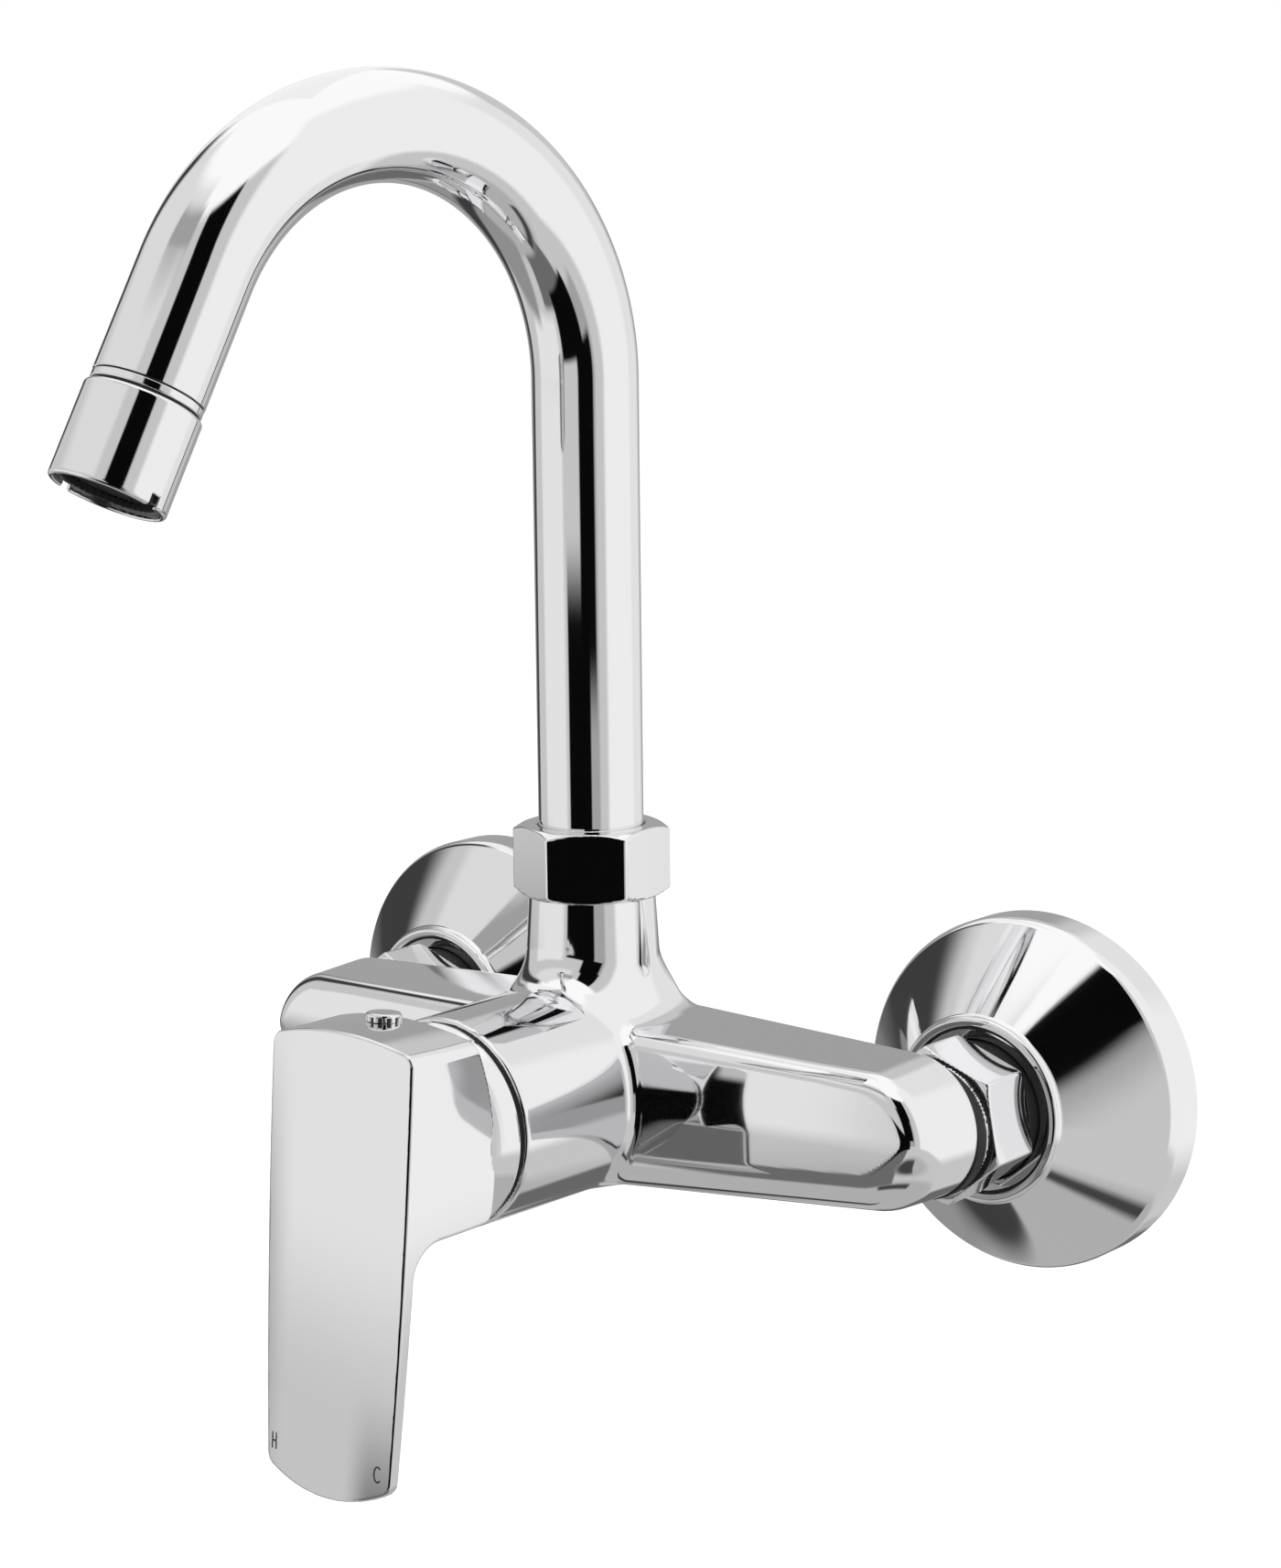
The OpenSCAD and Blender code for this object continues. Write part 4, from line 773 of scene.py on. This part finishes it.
def plain(name, colour, metallic, rough_low, rough_high, scale, bump):
    """A finish with mottled colour, uneven roughness and a fine bump."""
    if name not in made:
        mat, tree, shader = new_material(name, colour, metallic, rough_low)
        coords = node(tree, "ShaderNodeTexCoord")
        vary_roughness(tree, shader, coords, scale, rough_low, rough_high, 4.0)
        ripple(tree, shader, coords, scale * GRAIN_SCALE, bump, GRAIN_STRENGTH, 4.0)
        noise = node(tree, "ShaderNodeTexNoise", Scale=scale * MOTTLE_SCALE, Detail=4.0)
        mix = node(tree, "ShaderNodeMix", data_type="RGBA")
        mix.inputs["A"].default_value = (*colour, 1)
        mix.inputs["B"].default_value = (*(c * MOTTLE_SHADE for c in colour), 1)
        tree.links.new(coords.outputs["Object"], noise.inputs["Vector"])
        tree.links.new(noise.outputs["Fac"], mix.inputs["Factor"])
        tree.links.new(mix.outputs["Result"], shader.inputs["Base Color"])
        made[name] = mat
    return made[name]


def brass():
    return plain("brass_turned", (0.72, 0.53, 0.24), 1.0, 0.22, 0.38, 120, 0.00004)


def nickel():
    return plain("brass_nickelled", (0.30, 0.295, 0.28), 1.0, 0.3, 0.45, 120, 0.00004)


# near-black finish for the inlet nipples: painted shade in the gap behind the union nuts
def painted_shade_steel():
    return plain("steel_painted_shade_dark", (0.035, 0.035, 0.037), 1.0, 0.25, 0.42, 150, 0.00003)


def steel():
    return plain("steel_ground", (0.58, 0.58, 0.57), 1.0, 0.22, 0.40, 150, 0.00003)


# also the finish of the black rings of painted shade at the inlets, the barrel seam and the spout's end
def rubber():
    return plain("rubber_and_painted_shade_black", (0.012, 0.012, 0.0125), 0.0, 0.55, 0.75, 200, 0.0001)


def white_plastic():
    return plain("plastic_white", (0.75, 0.75, 0.72), 0.0, 0.35, 0.5, 90, 0.00005)


# also the finish of the painted shade in the plug's grooves and of the painted dark reflection in the
# outlet's bore
def black_plastic():
    return plain("black_plastic_and_painted_shade", (0.018, 0.018, 0.02), 0.0, 0.32, 0.5, 110, 0.00005)


def ceramic():
    return plain("ceramic_ground", (0.80, 0.78, 0.73), 0.0, 0.18, 0.3, 160, 0.00001)


def dress_cad_nodes():
    """Gives every CAD node that still shows its own finish."""
    finishes = {
        "leg_": nickel, "union_washer_": rubber, "strainer_": steel,
        # the inlet nipples are near black as painted shade
        "inlet_nipple_": painted_shade_steel, "cartridge_housing": white_plastic, "cartridge_base": white_plastic,
        "base_seals": rubber, "fixed_disc": ceramic, "moving_disc": ceramic, "disc_carrier": black_plastic,
        "cartridge_rotor": black_plastic, "stem_pin": steel, "lever_stem": steel, "cartridge_nut": brass,
        "lever_screw": steel, "spout_slip_ring": white_plastic, "spout_tail": brass, "neck_seal_": rubber,
        "aerator_washer": rubber, "aerator_mesh": steel,
    }
    for name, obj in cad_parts.items():
        for start, finish in finishes.items():
            if name.startswith(start):
                obj.data.materials.clear()
                obj.data.materials.append(finish())


# ---------- Studio ----------
# The camera was solved on the photograph. It stands CAMERA_TURN degrees to the right of straight ahead,
# looks down by CAMERA_DIP degrees and is rolled by CAMERA_ROLL degrees.
CAMERA_AT = (457.790, -613.595, 190.336)
CAMERA_TURN, CAMERA_DIP, CAMERA_ROLL = 38.7097, 9.8061, -0.6548
CAMERA_LENS, CAMERA_SENSOR = 79.56, 36.0
FLOOR_Z, FLOOR_HALF = -420.0, 6000.0
FLOOR_GLOW = 0.3        # seen by the camera alone
WORLD_LEVEL = 0.9
LAMP_AT, LAMP_AIM, LAMP_SIZE, LAMP_POWER = (300, -600, 1900), (0, -80, 50), 1400.0, 12.0
TENT_AT, TENT_TURN, TENT_R = (0.0, -60.0, 60.0), 38.71, 478.0
TENT_WALL = 0.63        # light of the bare cloth
# Cards in the tent, each laid over those before it: light, left and right azimuth, low and high end, width
# of the soft edge, and lean to the right for each degree of height. Angles are in degrees. The values of the
# cards, and TENT_R and TENT_WALL, are the rounded results of a program that fitted them to the photograph.
CARDS = (
    (1.1, -180, 180, 51, 95, 6, 0),  # roof
    (0.99, -180, -142, 28, 95, 8, 0.12),  # bright cloth behind, left
    (0.8, -120, -28, 31, 60, 8, 0),  # left wall, upper
    (0.87, -108, -51, -20, 10, 8, 0),  # left wall, lower
    (0.48, -180, 180, -95, -50, 8, 0),  # ground
    (0.31, -180, -87, -59, -14, 10, 0),  # ground behind, left
    (0.051, -152, -136, -95, 46, 7, 0.27),  # leaning stand, left
    (0.003, -180, -154, -20, 23, 8, 0),  # edge of the backdrop, left
    (0.16, -67, -4, -54, -25, 6, 0),  # ground in front, left
    (0.97, 41, 130, -30, 66, 9, 0),  # right wall
    (0.4, 4, 22, -23, 26, 6, 0),  # front right
    (0.86, 109, 144, -29, 55, 10, 0),  # right wall, rear
    (0.39, 154, 203, -18, 26, 8, 0),  # edge of the backdrop, right
    (0.16, 142, 179, -46, -14, 6, 0),  # stand behind, right
    (0.15, 135, 169, -58, -38, 8, 0),  # ground behind, right
    (0.003, -44, 4, -33, 0, 4, 0),  # photographer
    (0.003, -14, 18, -5, 32, 4, 0),  # camera, low
    (0.003, -10, 21, 22, 51, 3, 0),  # camera, high
    (0.39, -62, -22, 44, 54, 5, 0),  # lamp arm
    (0.059, -28, 36, -61, -54, 5, 0),  # ground seam
)


def build_camera():
    data = bpy.data.cameras.new("camera")
    data.lens = CAMERA_LENS
    data.sensor_width = CAMERA_SENSOR
    data.sensor_fit = "AUTO"
    data.clip_start = 0.01
    data.clip_end = 50.0
    cam = bpy.data.objects.new("camera", data)
    turn = Matrix.Rotation(math.radians(CAMERA_TURN), 4, "Z")
    dip = Matrix.Rotation(math.radians(90 - CAMERA_DIP), 4, "X")
    roll = Matrix.Rotation(math.radians(CAMERA_ROLL), 4, "Z")
    cam.matrix_world = Matrix.Translation(Vector(CAMERA_AT) * MM) @ turn @ dip @ roll
    bpy.context.scene.collection.objects.link(cam)
    bpy.context.scene.camera = cam


def build_floor():
    mesh = bpy.data.meshes.new("floor")
    half, level = FLOOR_HALF * MM, FLOOR_Z * MM
    corners = [(-half, -half, level), (half, -half, level), (half, half, level), (-half, half, level)]
    mesh.from_pydata(corners, [], [(0, 1, 2, 3)])
    mat, tree, shader = new_material("floor_paper", (0.9, 0.9, 0.9), 0.0, 0.9)
    vary_roughness(tree, shader, node(tree, "ShaderNodeTexCoord"), 8, 0.85, 0.95, 2.0)
    shader.inputs["Emission Color"].default_value = (1, 1, 1, 1)
    path = node(tree, "ShaderNodeLightPath")
    glow = node(tree, "ShaderNodeMath", operation="MULTIPLY")
    glow.inputs[1].default_value = FLOOR_GLOW
    tree.links.new(path.outputs["Is Camera Ray"], glow.inputs[0])
    tree.links.new(glow.outputs[0], shader.inputs["Emission Strength"])
    mesh.materials.append(mat)
    floor = bpy.data.objects.new("floor", mesh)
    bpy.context.scene.collection.objects.link(floor)
    floor.visible_glossy = False


class TentCloth:
    """The glowing cloth of a light tent, with cards laid over it by azimuth and height about its middle.
    Azimuth 0 is in front and azimuths grow to the right."""

    def __init__(self):
        self.material = bpy.data.materials.new("tent_cloth")
        self.material.use_nodes = True
        self.material.cycles.emission_sampling = "NONE"
        self.tree = self.material.node_tree
        self.tree.nodes.clear()
        place = node(self.tree, "ShaderNodeNewGeometry").outputs["Position"]
        arm = node(self.tree, "ShaderNodeVectorMath", operation="SUBTRACT")
        self.tree.links.new(place, arm.inputs[0])
        arm.inputs[1].default_value = tuple(v * MM for v in TENT_AT)
        unit = node(self.tree, "ShaderNodeVectorMath", operation="NORMALIZE")
        self.tree.links.new(arm.outputs[0], unit.inputs[0])
        self.arm = unit.outputs[0]
        turn = math.radians(TENT_TURN)
        ahead = self.dot((math.sin(turn), -math.cos(turn), 0))
        aside = self.dot((math.cos(turn), math.sin(turn), 0))
        self.azimuth = self.math("ARCTAN2", aside, ahead)
        self.height = self.math("ARCSINE", self.dot((0, 0, 1)))

    def link(self, value, socket):
        if isinstance(value, (int, float)):
            socket.default_value = value
        else:
            self.tree.links.new(value, socket)

    def math(self, operation, a, b=0.0):
        new = node(self.tree, "ShaderNodeMath", operation=operation)
        self.link(a, new.inputs[0])
        self.link(b, new.inputs[1])
        return new.outputs[0]

    def dot(self, axis):
        new = node(self.tree, "ShaderNodeVectorMath", operation="DOT_PRODUCT")
        self.tree.links.new(self.arm, new.inputs[0])
        new.inputs[1].default_value = tuple(axis)
        return new.outputs["Value"]

    def step(self, value, at, soft):
        """0 below the angle at and 1 above it, with a soft edge."""
        span = node(self.tree, "ShaderNodeMapRange", interpolation_type="SMOOTHSTEP")
        span.inputs["From Min"].default_value = math.radians(at - soft / 2)
        span.inputs["From Max"].default_value = math.radians(at + soft / 2)
        self.tree.links.new(value, span.inputs["Value"])
        return span.outputs["Result"]

    def band(self, value, low, high, soft):
        return self.math("SUBTRACT", self.step(value, low, soft), self.step(value, high, soft))

    def card(self, light, shade, left, right, low, high, soft, lean):
        """Lays a card over the light, between two azimuths and two heights. It may lean to the right."""
        cover = self.band(self.height, low, high, soft)
        if right - left < 360:
            place = self.math("SUBTRACT", self.azimuth, self.math("MULTIPLY", self.height, lean))
            across = self.band(place, left, right, soft)
            if right > 180:
                across = self.math("ADD", across, self.band(place, left - 360, right - 360, soft))
            cover = self.math("MULTIPLY", cover, across)
        keep = self.math("MULTIPLY", light, self.math("SUBTRACT", 1.0, cover))
        return self.math("ADD", keep, self.math("MULTIPLY", cover, shade))

    def finish(self, light):
        glow = node(self.tree, "ShaderNodeEmission", Color=(1, 1, 1, 1))
        self.link(light, glow.inputs["Strength"])
        out = node(self.tree, "ShaderNodeOutputMaterial")
        self.tree.links.new(glow.outputs[0], out.inputs[0])
        return self.material


def build_tent():
    """A round light tent that only reflections see."""
    cloth = TentCloth()
    light = TENT_WALL
    for card in CARDS:
        light = cloth.card(light, *card)
    shell = bmesh.new()
    bmesh.ops.create_uvsphere(shell, u_segments=64, v_segments=32, radius=TENT_R * MM)
    mesh = bpy.data.meshes.new("tent")
    shell.to_mesh(mesh)
    shell.free()
    mesh.materials.append(cloth.finish(light))
    tent = bpy.data.objects.new("tent", mesh)
    tent.location = tuple(v * MM for v in TENT_AT)
    bpy.context.scene.collection.objects.link(tent)
    tent.visible_camera = False
    tent.visible_diffuse = False
    tent.visible_shadow = False
    tent.visible_transmission = False
    tent.visible_volume_scatter = False


def build_world():
    """The camera sees a white background; everything else gets a plain level."""
    world = bpy.data.worlds.new("studio")
    bpy.context.scene.world = world
    world.use_nodes = True
    world.cycles.sampling_method = "NONE"
    tree = world.node_tree
    tree.nodes.clear()
    camera = node(tree, "ShaderNodeLightPath").outputs["Is Camera Ray"]
    level = node(tree, "ShaderNodeMapRange")
    level.inputs["To Min"].default_value = WORLD_LEVEL
    level.inputs["To Max"].default_value = 1.0
    tree.links.new(camera, level.inputs["Value"])
    back = node(tree, "ShaderNodeBackground", Color=(1, 1, 1, 1))
    tree.links.new(level.outputs["Result"], back.inputs["Strength"])
    out = node(tree, "ShaderNodeOutputWorld")
    tree.links.new(back.outputs[0], out.inputs[0])


def build_lamp():
    data = bpy.data.lights.new("softbox_top", "AREA")
    data.shape = "SQUARE"
    data.size = LAMP_SIZE * MM
    data.energy = LAMP_POWER
    lamp = bpy.data.objects.new("softbox_top", data)
    lamp.location = Vector(LAMP_AT) * MM
    lamp.visible_glossy = False
    lamp.rotation_euler = (Vector(LAMP_AIM) - Vector(LAMP_AT)).to_track_quat("-Z", "Y").to_euler()
    bpy.context.scene.collection.objects.link(lamp)


def build_studio():
    build_camera()
    build_floor()
    build_world()
    build_tent()
    build_lamp()
    bpy.context.scene.view_settings.view_transform = "Standard"


# ---------- All together ----------
build_studio()
dress_cad_nodes()
build_body()
for inlet in INLETS:
    build_flange(*inlet)
    build_grip_ring_and_shade(*inlet)
    build_inlet_painted_shade(*inlet)
    build_union_nut(*inlet)
build_spout_nut()
build_spout_tube()
build_end_ring()
build_end_shade_rings()
build_housing()
build_grid()
build_barrel_shade_ring()
build_dome_ring()
build_lever()
build_plug()
build_plug_shade_core()
build_marks()
